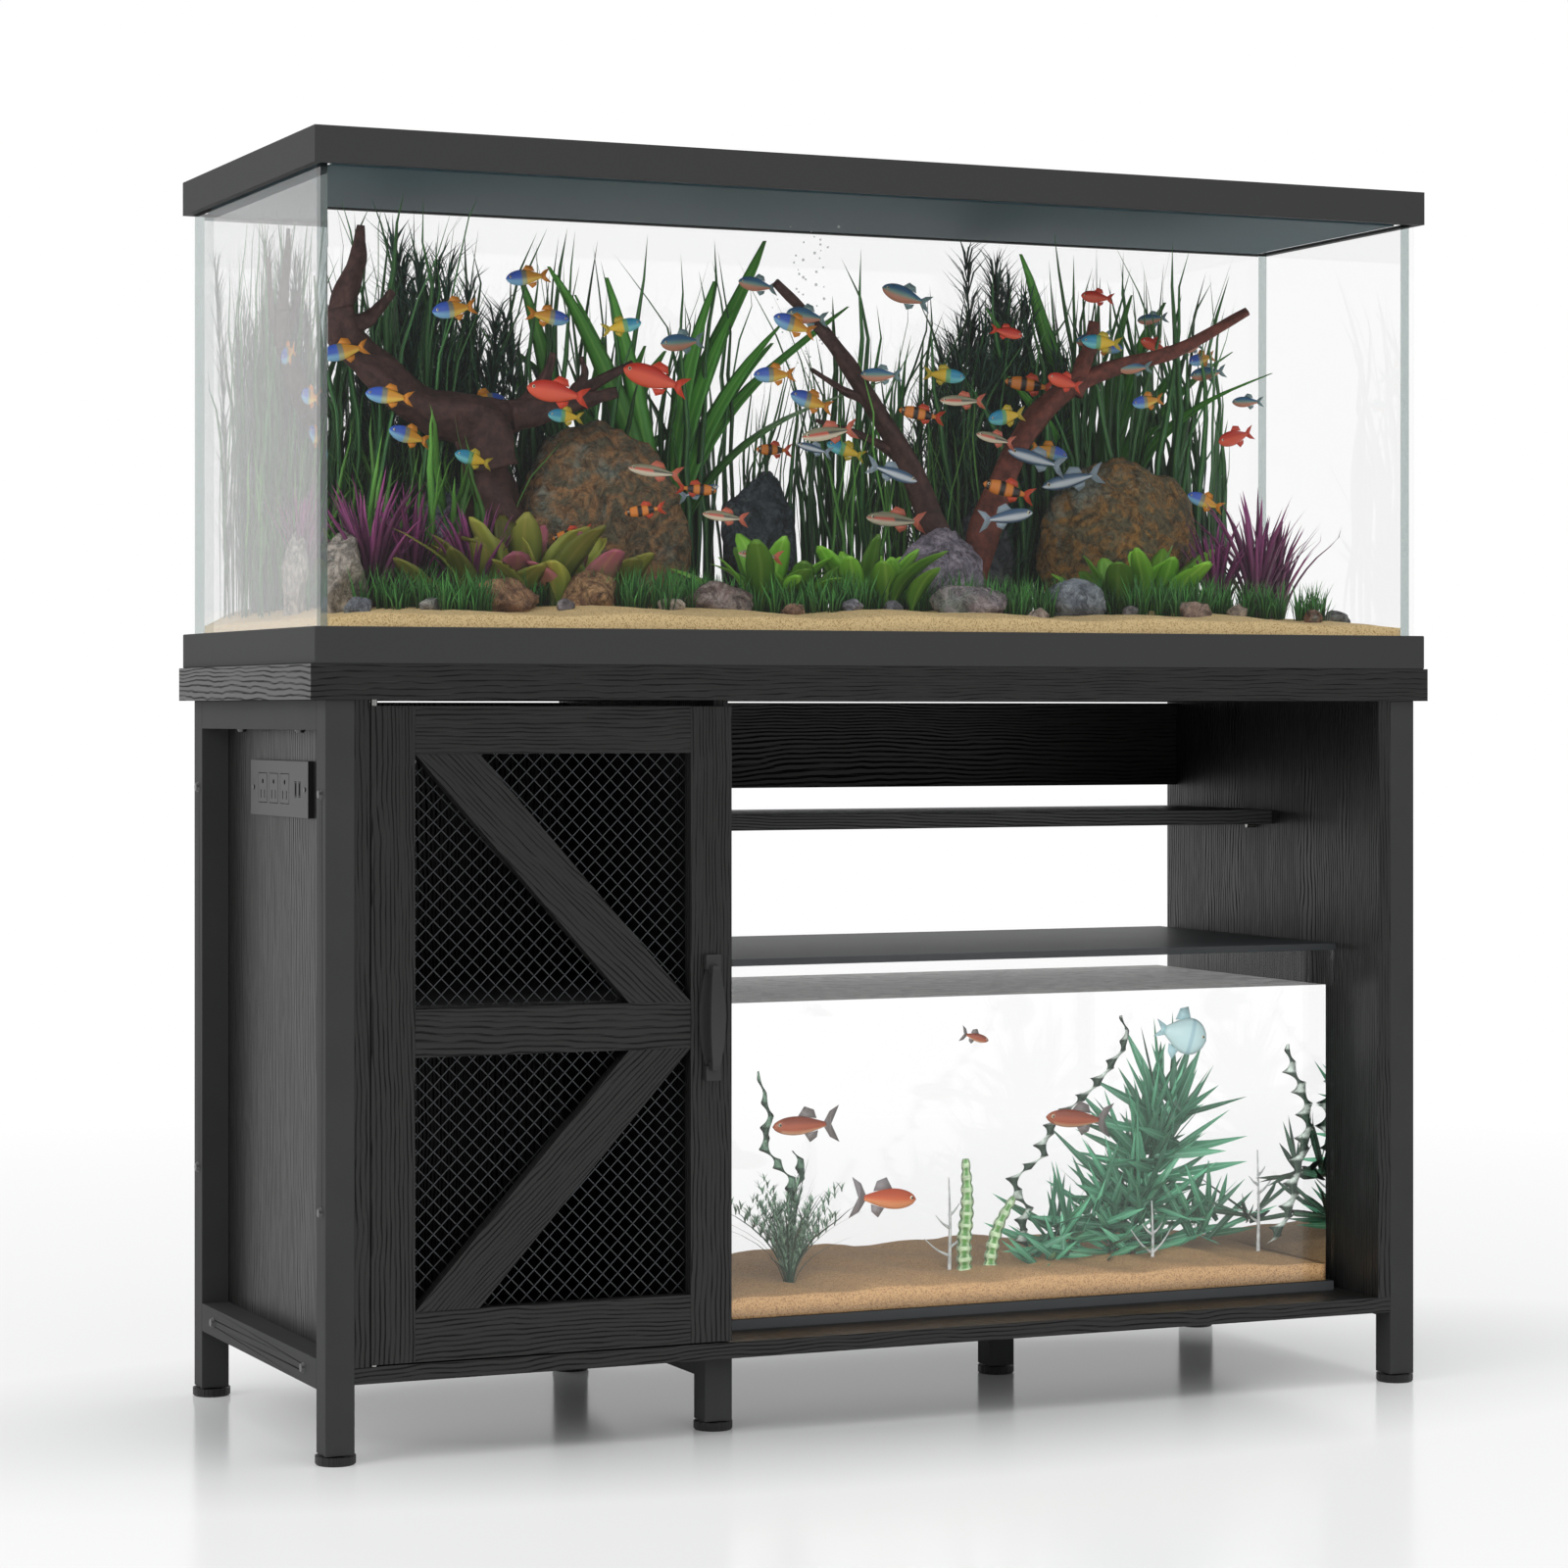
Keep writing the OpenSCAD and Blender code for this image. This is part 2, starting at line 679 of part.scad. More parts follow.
module door_rails() {
    color("#2f2f2d") place() {
        span([open_l, -half_d, door_z1 - rail_w], [open_r, door_back, door_z1]);
        span([open_l, -half_d, mid_lo], [open_r, door_back, mid_hi]);
        span([open_l, -half_d, door_z0], [open_r, door_back, door_z0 + low_rail_w]);
    }
}

// A brace from the hinge side at z0 to the handle side at z1, with its ends cut along the rails.
module brace(z0, z1) {
    translate([0, door_back, 0]) rotate([90, 0, 0]) linear_extrude(door_t)
        polygon([[open_l, z0], [open_l + brace_run, z0], [open_r, z1], [open_r - brace_run, z1]]);
}

module door_braces() {
    color("#2f2f2d") place() {
        brace(door_z1 - rail_w, mid_hi);
        brace(door_z0 + low_rail_w, mid_lo);
    }
}

// Straight wires at 45 degrees that fill the rectangle from [0, 0] to [w, h]; rise is 1 or -1.
module wires(w, h, rise) {
    step = mesh_pitch * sqrt(2);
    inset = wire / sqrt(2);
    for (c = [step : step : w + h - step / 2]) {
        // the wire's centre line is x + z = c, cut where it meets the rectangle's sides
        x0 = max(inset, c - h + inset);
        x1 = min(w - inset, c - inset);
        mid = (x0 + x1) / 2;
        if (x1 - x0 > step / 2)
            translate([rise > 0 ? w - mid : mid, 0, c - mid]) rotate([0, rise > 0 ? -45 : 45, 0])
                cube([(x1 - x0) * sqrt(2), wire, wire], center = true);
    }
}

module door_mesh() {
    x0 = open_l - mesh_lap;
    z0 = door_z0 + low_rail_w - mesh_lap;
    w = open_r + mesh_lap - x0;
    h = door_z1 - rail_w + mesh_lap - z0;
    color("#9a9a9a") place() {
        translate([x0, door_back + wire / 2, z0]) wires(w, h, 1);
        translate([x0, door_back + wire * 1.5 + wire_gap, z0]) wires(w, h, -1);
    }
}

// Points on an arc of height bow over the chord from -half_l to half_l, moved by base.
function arc_points(half_l, bow, base, n = 12) =
    let(r = (half_l * half_l + bow * bow) / (2 * bow), a = asin(half_l / r))
    [for (i = [-n : n]) [base + bow - r + r * cos(a * i / n), r * sin(a * i / n)]];
function reversed(v) = [for (i = [len(v) - 1 : -1 : 0]) v[i]];

// A leaf outline of the given widths at its middle and at a height of half_h from the middle.
module leaf_outline(mid_w, end_w, half_h) {
    right = arc_points(half_h, (mid_w - end_w) / 2, end_w / 2);
    polygon(concat(right, [for (p = reversed(right)) [-p[0], p[1]]]));
}

module door_handle() {
    half = handle_h / 2 - lug_h;                     // half the length between the lugs
    face = grip_out - grip_bow;                      // how far the grip's ends stand out
    bow = arc_points(half, grip_bow, face);
    color("#444444") place() translate([handle_x, -half_d, handle_z]) {
        // dark leaf-shaped plate on the door
        rotate([90, 0, 0]) linear_extrude(leaf_plate_t) leaf_outline(leaf_mid_w, grip_end_w + 5, half);
        for (s = [-1, 1]) {
            z = s > 0 ? half : -half - lug_h;
            span([-lug_w / 2, -lug_d, z], [lug_w / 2, 0, z + lug_h]);
            // neck from each lug out to the grip's end
            zn = s > 0 ? half - grip_t : -half;
            span([-grip_end_w / 2, -face, zn], [grip_end_w / 2, -leaf_plate_t, zn + grip_t]);
            span([-grip_end_w / 2, -face, s > 0 ? half : -half - grip_t],
                 [grip_end_w / 2, -lug_d, s > 0 ? half + grip_t : -half]);
        }
        // bowed leaf-shaped grip
        intersection() {
            rotate([90, 0, 0]) linear_extrude(grip_out + 1) leaf_outline(lug_w, grip_end_w, half);
            translate([-lug_w, 0, 0]) rotate([90, 0, 90]) linear_extrude(2 * lug_w)
                polygon(concat([for (p = bow) [-p[0], p[1]]], [for (p = reversed(bow)) [grip_t - p[0], p[1]]]));
        }
    }
}

catch_z = top_z - catch_drop - catch_h;

module magnet_catch() {
    color("#2a2a2a") place()
        span([divider_l - catch_w, divider_y + 0.5, catch_z], [divider_l, divider_y + 0.5 + catch_d, catch_z + catch_h]);
}

module strike_plate() {
    color("#a8a8a8") place()
        span([divider_l - catch_w, door_back, catch_z], [divider_l - 1, door_back + strike_t, catch_z + catch_h]);
}

// Power outlet -----------------------------------------------------------------------------------

socket_ys = [for (i = [-1 : 1]) socket_shift + i * socket_pitch];
port_ys = [for (s = [-0.5, 0.5]) -port_shift + s * port_pitch];
screw_ys = [-outlet_w / 2 + 11, outlet_w / 2 - 11];

module outlet_plate() {
    x = -panel_out - outlet_t;
    color("#3c3c3c") place() difference() {
        span([x, -outlet_w / 2, outlet_z - outlet_h / 2], [-panel_out, outlet_w / 2, outlet_z + outlet_h / 2]);
        for (y = socket_ys) {
            w = socket_w / 2 + socket_gap;
            span([x - 1, y - w, outlet_z - w], [-panel_out + 1, y + w, outlet_z + w]);
        }
        for (y = port_ys)
            span([x - 1, y - port_w / 2 - socket_gap, outlet_z - port_h / 2 - socket_gap],
                 [-panel_out + 1, y + port_w / 2 + socket_gap, outlet_z + port_h / 2 + socket_gap]);
        for (y = screw_ys) rod_x([x - 1, y, outlet_z], 1.6, outlet_t + 2);
    }
}

// Three sockets, each with two upright slots under an earth hole, and two charging ports.
module outlet_sockets() {
    x = -panel_out - outlet_t;
    deep = outlet_t - 1.5;
    color("#484848") place() {
        for (y = socket_ys) difference() {
            span([x, y - socket_w / 2, outlet_z - socket_w / 2], [-panel_out, y + socket_w / 2, outlet_z + socket_w / 2]);
            for (s = [-1, 1]) span([x - 1, y + s * 6.3 - 1, outlet_z - 10.5], [x + deep, y + s * 6.3 + 1, outlet_z - 2]);
            rod_x([x - 1, y, outlet_z + 6.5], 2.4, deep + 1);
        }
        for (y = port_ys) difference() {
            span([x, y - port_w / 2, outlet_z - port_h / 2], [-panel_out, y + port_w / 2, outlet_z + port_h / 2]);
            span([x - 1, y - port_w / 2 + 0.8, outlet_z - port_h / 2 + 0.8],
                 [x + deep, y + port_w / 2 - 0.8, outlet_z + port_h / 2 - 0.8]);
        }
    }
}

module outlet_screws() {
    x = -panel_out - outlet_t;
    color("#2c2c2c") place() for (y = screw_ys) {
        rod_x([x, y, outlet_z], 1.55, outlet_t);
        rod_x([x - 0.8, y, outlet_z], 2.4, 0.8);
    }
}

// The box that holds the wiring reaches through the side panel into the left bay, with its cord gland.
module power_box() {
    x1 = -panel_out + box_deep;
    color("#262626") place() {
        difference() {
            span([-panel_out, -box_w / 2, outlet_z - box_h / 2], [x1, box_w / 2, outlet_z + box_h / 2]);
            span([-panel_out - 1, -box_w / 2 + box_wall, outlet_z - box_h / 2 + box_wall],
                 [x1 - box_wall, box_w / 2 - box_wall, outlet_z + box_h / 2 - box_wall]);
            rod_y([x1 - gland_r - box_wall - 2, box_w / 2 - box_wall - 1, outlet_z], gland_r / 2, box_wall + 2);
        }
        difference() {
            rod_y([x1 - gland_r - box_wall - 2, box_w / 2, outlet_z], gland_r, gland_l);
            rod_y([x1 - gland_r - box_wall - 2, box_w / 2 - 1, outlet_z], gland_r / 2, gland_l + 2);
        }
    }
}

// Upper tank -------------------------------------------------------------------------------------

// A rectangular block centred on the tank, from z0 to z1.
module block(w, d, z0, z1) { span([-w, -d, z0], [w, d, z1]); }

module base_rim() {
    color("#454545") place() difference() {
        block(tank_w / 2, tank_d / 2, stand_h, stand_h + base_band);
        block(glass_w, glass_d, glass_z, stand_h + base_band + 1);
        block(glass_w - base_ledge, glass_d - base_ledge, stand_h - 1, glass_z + 1);
    }
}

module bottom_pane() {
    color("#cfe0e2", 0.4) place() block(in_w - seam_t, in_d - seam_t, glass_z, pane_z);
}

module long_panes() {
    color("#cfe0e2", 0.35) place() for (s = [-1, 1])
        span([-glass_w, s < 0 ? -glass_d : in_d, glass_z], [glass_w, s < 0 ? -in_d : glass_d, flange_z - flange_t]);
}

module end_panes() {
    color("#cfe0e2", 0.35) place() for (s = [-1, 1])
        span([s < 0 ? -glass_w : in_w, -in_d + seam_t, glass_z], [s < 0 ? -in_w : glass_w, in_d - seam_t, flange_z - flange_t]);
}

module silicone_seams() {
    color("#1c1c1c") place() {
        for (x = [-1, 1]) for (y = [-1, 1])
            span([x < 0 ? -glass_w : in_w, y < 0 ? -in_d : in_d - seam_t, glass_z],
                 [x < 0 ? -in_w : glass_w, y < 0 ? -in_d + seam_t : in_d, flange_z - flange_t]);
        difference() {
            block(in_w, in_d, glass_z, pane_z);
            block(in_w - seam_t, in_d - seam_t, glass_z - 1, pane_z + 1);
        }
    }
}

// The top rim holds the panes in its lower pocket and the cover in its upper one.
module top_rim() {
    block_x = glass_w - pin_block;
    color("#454545") place() {
        difference() {
            block(tank_w / 2, tank_d / 2, rim_z, tank_top);
            block(glass_w, glass_d, rim_z - 1, flange_z - flange_t);
            block(flange_w_in, flange_d_in, rim_z - 1, tank_top + 1);
            difference() {
                block(glass_w, glass_d, flange_z, tank_top + 1);
                for (s = [-1, 1])
                    span([s < 0 ? -glass_w : block_x, glass_d - pin_block, flange_z],
                         [s < 0 ? -block_x : glass_w, glass_d, lid_axis_z + plate_t / 2]);
            }
            for (s = [-1, 1])
                rod_x([s * (block_x - 1), lid_axis_y, lid_axis_z], lid_pin_r + stem_gap, s * (pin_block - 1));
        }
    }
}

// The cover: a plate in the rim's pocket, rounded about the pivots at its rear edge.
module cover_plate() {
    w = glass_w - plate_gap;
    notch = glass_w - pin_block - plate_gap;
    z0 = lid_axis_z - plate_t / 2;
    slot_y = -glass_d + plate_gap + slot_edge + slot_d / 2;
    color("#3a3a3a") place() difference() {
        union() {
            span([-w, -glass_d + plate_gap, z0], [w, lid_axis_y, z0 + plate_t]);
            rod_x([-notch, lid_axis_y, lid_axis_z], plate_t / 2, 2 * notch);
        }
        for (s = [-1, 1])
            span([s < 0 ? -w - 1 : notch, glass_d - pin_block - 2 * plate_gap, z0 - 1],
                 [s < 0 ? -notch : w + 1, glass_d, z0 + plate_t + 1]);
        for (s = [-1, 1])
            rod_x([s * (notch + 1), lid_axis_y, lid_axis_z], lid_pin_r, -s * (lid_pin_grip + 1));
        span([-slot_w / 2 + slot_d / 2, slot_y - slot_d / 2, z0 - 1], [slot_w / 2 - slot_d / 2, slot_y + slot_d / 2, z0 + plate_t + 1]);
        for (s = [-1, 1]) rod_z([s * (slot_w / 2 - slot_d / 2), slot_y, z0 - 1], slot_d / 2, plate_t + 2);
    }
}

// The tray hangs from the plate down to the rim's lower edge and closes the tank from above.
module cover_tray() {
    w = flange_w_in - tray_gap;
    d = flange_d_in - tray_gap;
    z1 = lid_axis_z - plate_t / 2;
    color("#5a686c") place() difference() {
        block(w, d, rim_z, z1);
        block(w - tray_wall, d - tray_wall, rim_z + tray_wall, z1 + 1);
    }
}

module cover_pins() {
    notch = glass_w - pin_block - plate_gap;
    color("#9a9a9a") place() for (s = [-1, 1])
        rod_x([s * (notch - lid_pin_grip), lid_axis_y, lid_axis_z], lid_pin_r, s * (lid_pin_grip + plate_gap + pin_block - 3));
}

// Sand, stones, wood and plants -------------------------------------------------------------------

// Height of the sand's surface above the bottom pane, at shares u and v of the half width and half depth.
function sand_top(u, v) =
    let(edge = (1 - pow(abs(u), 10)) * (1 - 0.55 * pow(abs(v), 12)))
    sand_edge + sand_rise * edge * (0.75 + 0.25 * v)
    + edge * (2.4 * sin(u * 700 + 40) + 1.8 * sin(u * 1500 + v * 300) + 1.2 * cos(v * 420 + u * 260));

// A block on the tank's bottom with a wavy top: nx by ny cells, w and d half sizes, h(u, v) from sand_top.
module sand_block(w, d, z, nx, ny, base, scale_h) {
    top = [for (j = [0 : ny]) for (i = [0 : nx])
        let(u = 2 * i / nx - 1, v = 2 * j / ny - 1) [u * w, v * d, z + base + scale_h * sand_top(u, v)]];
    n = (nx + 1) * (ny + 1);
    low = [[-w, -d, z], [w, -d, z], [w, d, z], [-w, d, z]];
    function id(i, j) = j * (nx + 1) + i;
    up = [for (j = [0 : ny - 1]) for (i = [0 : nx - 1])
        each [[id(i, j), id(i + 1, j + 1), id(i + 1, j)], [id(i, j), id(i, j + 1), id(i + 1, j + 1)]]];
    sides = [concat([n], [for (i = [0 : nx]) id(i, 0)], [n + 1]),
             concat([n + 1], [for (j = [0 : ny]) id(nx, j)], [n + 2]),
             concat([n + 2], [for (i = [nx : -1 : 0]) id(i, ny)], [n + 3]),
             concat([n + 3], [for (j = [ny : -1 : 0]) id(0, j)], [n])];
    polyhedron(concat(top, low), concat(up, sides, [[n, n + 1, n + 2, n + 3]]));
}

module sand_bed() {
    color("#e8cb92") place()
        sand_block(in_w - sand_gap, in_d - sand_gap, pane_z, 36, 10, 0, 1);
}

// A stone: a rough, rounded block with radii r about p.
module stone(p, r, seed, rings, sides) {
    pts = concat([[0, 0, -r[2]], [0, 0, r[2]]],
        [for (j = [1 : rings - 1]) for (i = [0 : sides - 1])
            let(a = 360 * (i + j / 2) / sides, b = -90 + 180 * j / rings, k = 0.82 + 0.3 * chance(i + sides * j, seed))
            [r[0] * k * cos(b) * cos(a), r[1] * k * cos(b) * sin(a), r[2] * (0.9 + 0.1 * k) * sin(b)]]);
    // only the points count: the stone is their hull
    translate(p) hull() polyhedron(pts, [for (i = [0 : 3 : len(pts) - 3]) [i, i + 1, i + 2]]);
}

// Point in the upper tank: shares of the half width and half depth, height above the bottom pane.
function spot(u, v, z) = [u * in_w, v * in_d, pane_z + z];

module rocks() {
    // large stones: place (u, v), height of the centre, radii
    large = [[-0.42, 0.14, 120, [92, 62, 112]], [0.585, 0.18, 108, [98, 60, 100]], [-0.09, 0.46, 105, [44, 34, 90]],
             [0.165, -0.28, 72, [54, 44, 66]], [-0.68, 0.2, 100, [40, 32, 80]], [-0.925, -0.3, 62, [36, 34, 56]]];
    // small stones along the front: u, v, half width, half height
    small = [[-0.93, -0.78, 16, 11], [-0.66, -0.55, 38, 20], [-0.51, -0.56, 31, 21], [-0.27, -0.5, 36, 19],
             [-0.05, -0.74, 11, 8], [0.18, -0.66, 45, 18], [0.41, -0.5, 34, 24], [0.61, -0.75, 20, 11],
             [0.855, -0.76, 11, 9], [0.945, -0.5, 16, 11]];
    color("#6b5a48") place() {
        for (i = [0 : len(large) - 1]) let(s = large[i]) stone(spot(s[0], s[1], s[2]), s[3], i + 1, 7, 9);
        for (i = [0 : len(small) - 1]) let(s = small[i])
            stone(spot(s[0], s[1], sand_top(s[0], s[1]) + s[3] * 0.4), [s[2], s[2] * 0.7, s[3]], i + 11, 5, 7);
    }
}

// A tapering branch through points given as [x, z] shares of the half width and of the water's depth.
module branch(path, y, r0, r1) {
    n = len(path);
    function at(i) = [path[i][0] * in_w, y * in_d, pane_z + path[i][1] * water_h];
    function thick(i) = r0 + (r1 - r0) * i / (n - 1);
    for (i = [0 : n - 2]) hull() {
        translate(at(i)) sphere(r = thick(i), $fn = 8);
        translate(at(i + 1)) sphere(r = thick(i + 1), $fn = 8);
    }
}

module driftwood() {
    color("#4a3430") place() {
        // antler-shaped piece at the left
        branch([[-0.55, 0.16], [-0.63, 0.4], [-0.7, 0.54], [-0.79, 0.64], [-0.87, 0.74], [-0.92, 0.8]], 0, 26, 8);
        branch([[-0.79, 0.64], [-0.82, 0.72], [-0.845, 0.8], [-0.865, 0.9]], 0, 14, 4);
        branch([[-0.7, 0.54], [-0.755, 0.62], [-0.78, 0.7], [-0.8, 0.78]], 0.04, 12, 3);
        branch([[-0.66, 0.47], [-0.58, 0.5], [-0.5, 0.52], [-0.42, 0.57], [-0.38, 0.66], [-0.37, 0.78]], 0.02, 15, 3);
        branch([[-0.52, 0.515], [-0.45, 0.49], [-0.38, 0.5]], 0.02, 9, 4);
        // forked piece at the right
        branch([[0.25, 0.1], [0.16, 0.4], [0.07, 0.58], [-0.02, 0.73], [-0.11, 0.84]], 0, 15, 5);
        branch([[0.25, 0.1], [0.31, 0.34], [0.4, 0.55], [0.52, 0.66], [0.68, 0.72], [0.83, 0.82]], 0, 20, 5);
        branch([[0.49, 0.63], [0.5, 0.7], [0.515, 0.76]], 0, 9, 3);
        branch([[0.16, 0.4], [0.12, 0.46], [0.05, 0.5], [-0.03, 0.53]], 0.02, 7, 3);
    }
}

// A flat leaf of length l and width w that bends over towards +X; belly moves its widest place up.
module leaf(l, w, bend, t, belly, n = 3) {
    function wide(k) = belly ? w * (k < 0.05 ? 0.3 : k > 0.95 ? 0.1 : 0.55 + 0.45 * sin(180 * k)) : w * (1 - 0.8 * k * k);
    for (i = [0 : n - 1]) hull() for (k = [i / n, (i + 1) / n])
        translate([bend * k * k, 0, l * k]) cube([wide(k), t, 0.6], center = true);
}

// A tuft of n leaves that fan out from a small ring at p.
module tuft(p, n, l, w, spread, belly, seed, steps = 2) {
    for (i = [0 : n - 1]) {
        a = 137.5 * i;
        r = w * 0.45 * sqrt(i);
        tall = l * (0.65 + 0.35 * chance(i, seed));
        translate(p + [r * cos(a), r * sin(a) * 0.7, 0]) rotate([0, 0, a > 0 ? (chance(i, seed + 9) - 0.5) * 50 : 0])
                leaf(tall, w, tall * spread * cos(a), 1.2, belly, steps);
    }
}

// A bush of n upright stems that carry narrow leaves, on a patch of radius spread round p.
module bush(p, n, l, spread, seed) {
    leaf_l = l * 0.15;
    for (i = [0 : n - 1]) {
        a = 137.5 * i;
        r = spread * sqrt(i / n);
        tall = l * (0.7 + 0.3 * chance(i, seed));
        translate(p + [r * cos(a), 0.4 * r * sin(a), 0]) {
            leaf(tall, 4, 0, 2.5, false, 1);
            for (k = [2 : 7]) translate([0, 0, tall * k / 8]) rotate([0, 0, 137.5 * k + 40 * i])
                leaf(leaf_l * (1 - 0.05 * k), 4, leaf_l / 2, 1.5, false, 1);
        }
    }
}

module back_plants() {
    root = 8;
    color("#2f5a2a") place() {
        // a row of tall grass along the back, thinner in the middle
        for (h = [-1, 1]) for (i = [0 : grass_count - 1]) {
            u = h < 0 ? -0.95 + 0.83 * i / grass_count : 0.13 + 0.72 * i / grass_count;
            v = 0.72 + 0.18 * sin(i * 97);
            tall = water_h * (0.5 + 0.42 * chance(i, 5 + h)) - root;
            translate(spot(u, v, root)) rotate([0, 0, (chance(i, 3) - 0.5) * 60])
                leaf(tall, 6, (chance(i, 7 + h) - 0.5) * 0.16 * tall, 1.2, false, 2);
        }
        // bushes behind the wood: place, number of stems, height, radius
        for (b = [[-0.6, 12, 0.9, 75], [0.24, 8, 0.9, 55], [0.37, 6, 0.8, 50]])
            bush(spot(b[0], 0.62, root), b[1], water_h * b[2], b[3], b[1]);
        // two sword plants with long broad leaves
        for (s = [[-0.27, 0.5, 0.86], [0.58, 0.68, 0.9]])
            tuft(spot(s[0], s[1], root), sword_count, water_h * s[2], 22, 0.35, true, s[2] * 10, 3);
    }
}

module front_plants() {
    root = 8;
    color("#4c8a3a") place() {
        // tufts: u, v, height, leaf width, spread, broad leaves
        tufts = [[-0.85, -0.2, 150, 6, 0.4, false], [-0.78, -0.1, 130, 6, 0.4, false], [0.82, -0.2, 150, 6, 0.4, false],
                 [0.88, -0.05, 120, 6, 0.35, false], [-0.57, -0.26, 105, 16, 0.6, true], [-0.16, -0.3, 95, 16, 0.7, true],
                 [0.0, -0.3, 105, 16, 0.7, true], [0.59, -0.36, 90, 16, 0.7, true]];
        for (i = [0 : len(tufts) - 1]) let(t = tufts[i])
            tuft(spot(t[0], t[1], root), tuft_count, t[2], t[3], t[4], t[5], i + 20);
        // low carpet grass between the stones
        for (i = [0 : 2 * tuft_count]) {
            u = -0.82 + 0.82 * i / tuft_count;
            translate(spot(u, -0.5 + 0.12 * sin(i * 143), root)) leaf(48 + 22 * chance(i, 4), 5, 8 * sin(i * 211), 1.2, false, 1);
        }
    }
}

// Lower tank -------------------------------------------------------------------------------------

module low_block(w, d, z0, z1) { span([low_x - w, low_y - d, z0], [low_x + w, low_y + d, z1]); }

module lower_bottom_pane() {
    color("#d6e4e6", 0.4) place() low_block(low_w / 2, low_d / 2, floor_z, floor_z + low_base);
}

module lower_long_panes() {
    color("#d6e4e6", 0.35) place() translate([low_x, low_y, 0]) for (s = [-1, 1])
        span([-low_w / 2, s < 0 ? -low_d / 2 : low_in_d, floor_z + low_base],
             [low_w / 2, s < 0 ? -low_in_d : low_d / 2, low_top]);
}

module lower_end_panes() {
    color("#d6e4e6", 0.35) place() translate([low_x, low_y, 0]) for (s = [-1, 1])
        span([s < 0 ? -low_w / 2 : low_in_w, -low_in_d, floor_z + low_base],
             [s < 0 ? -low_in_w : low_w / 2, low_in_d, low_top]);
}

module lower_lid() {
    color("#aeb6b8", 0.5) place()
        low_block(low_w / 2 + low_lid_lap, low_d / 2 + low_lid_lap, low_top + low_lid_gap, low_top + low_lid_gap + low_lid_t);
}

module lower_sand() {
    color("#c9a070") place() translate([low_x, low_y, 0])
        sand_block(low_in_w - sand_gap, low_in_d - sand_gap, low_pane_z, 20, 8, low_sand - sand_edge * 0.9, 0.9);
}

// Point in the lower tank: shares of the half width and half depth, height above its bottom pane.
function low_spot(u, v, z) = [low_x + u * low_in_w, low_y + v * low_in_d, low_pane_z + z];

module lower_plants() {
    root = 5;
    deep = low_top - low_pane_z;
    color("#5d8a70") place() {
        tuft(low_spot(-0.84, -0.3, root), tuft_count, deep * 0.4, 5, 0.3, false, 3);
        tuft(low_spot(0.3, 0, root), tuft_count, deep * 0.72, 9, 0.5, false, 4);
        tuft(low_spot(0.42, 0.1, root), tuft_count, deep * 0.6, 9, 0.5, false, 6);
        tuft(low_spot(0.85, 0.2, root), tuft_count - 2, deep * 0.66, 9, 0.16, false, 7);
        // two ribbed column plants
        for (s = [[-0.33, -0.3, 0.36], [-0.2, -0.35, 0.24]]) for (i = [1 : 4]) hull() {
            translate(low_spot(s[0], s[1], i < 2 ? root : deep * s[2] * (i - 1) / 4)) cylinder(r = 3, h = 1, $fn = 6);
            translate(low_spot(s[0], s[1], deep * s[2] * i / 4)) cylinder(r = 9, h = 2, $fn = 8);
        }
        // branching white corals
        for (s = [[-0.46, -0.05, 0.34], [0.26, -0.5, 0.24], [0.66, -0.3, 0.36]]) for (i = [0 : 4]) {
            h = deep * s[2];
            a = i * 97;
            base = low_spot(s[0], s[1], root + (i < 4 ? h * i / 5 : 0));
            hull() {
                translate(base) sphere(r = 3, $fn = 6);
                translate(base + (i < 4 ? [h * 0.28 * cos(a), h * 0.2 * sin(a), h * 0.4] : [0, 0, h]))
                    sphere(r = 2, $fn = 6);
            }
        }
    }
}

tabletop();
left_legs();
right_legs();
left_rails();
right_rails();
middle_legs();
middle_rail();
support_leg();
leg_plugs();
foot_front_left();
foot_rear_left();
foot_front_right();
foot_rear_right();
foot_middle_front();
foot_middle_rear();
foot_support();
frame_bolts();
bottom_board();
left_side_panel();
right_side_panel();
divider();
left_back_panel();
back_strip();
left_shelf();
right_shelf();
shelf_pins();
pivot_plates();
magnet_catch();
door_left_stile();
door_right_stile();
door_rails();
door_braces();
door_mesh();
door_handle();
door_pivot_leaves();
strike_plate();
outlet_plate();
outlet_sockets();
outlet_screws();
power_box();
base_rim();
bottom_pane();
long_panes();
end_panes();
silicone_seams();
top_rim();
cover_plate();
cover_tray();
cover_pins();
sand_bed();
rocks();
driftwood();
back_plants();
front_plants();
lower_bottom_pane();
lower_long_panes();
lower_end_panes();
lower_lid();
lower_sand();
lower_plants();
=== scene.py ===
"""Finishes the aquarium on its stand: surfaces, water, sand, stones, wood, plants, fish and the studio."""

import math
import random

import bmesh
import bpy
from mathutils import Euler, Matrix, Vector, noise


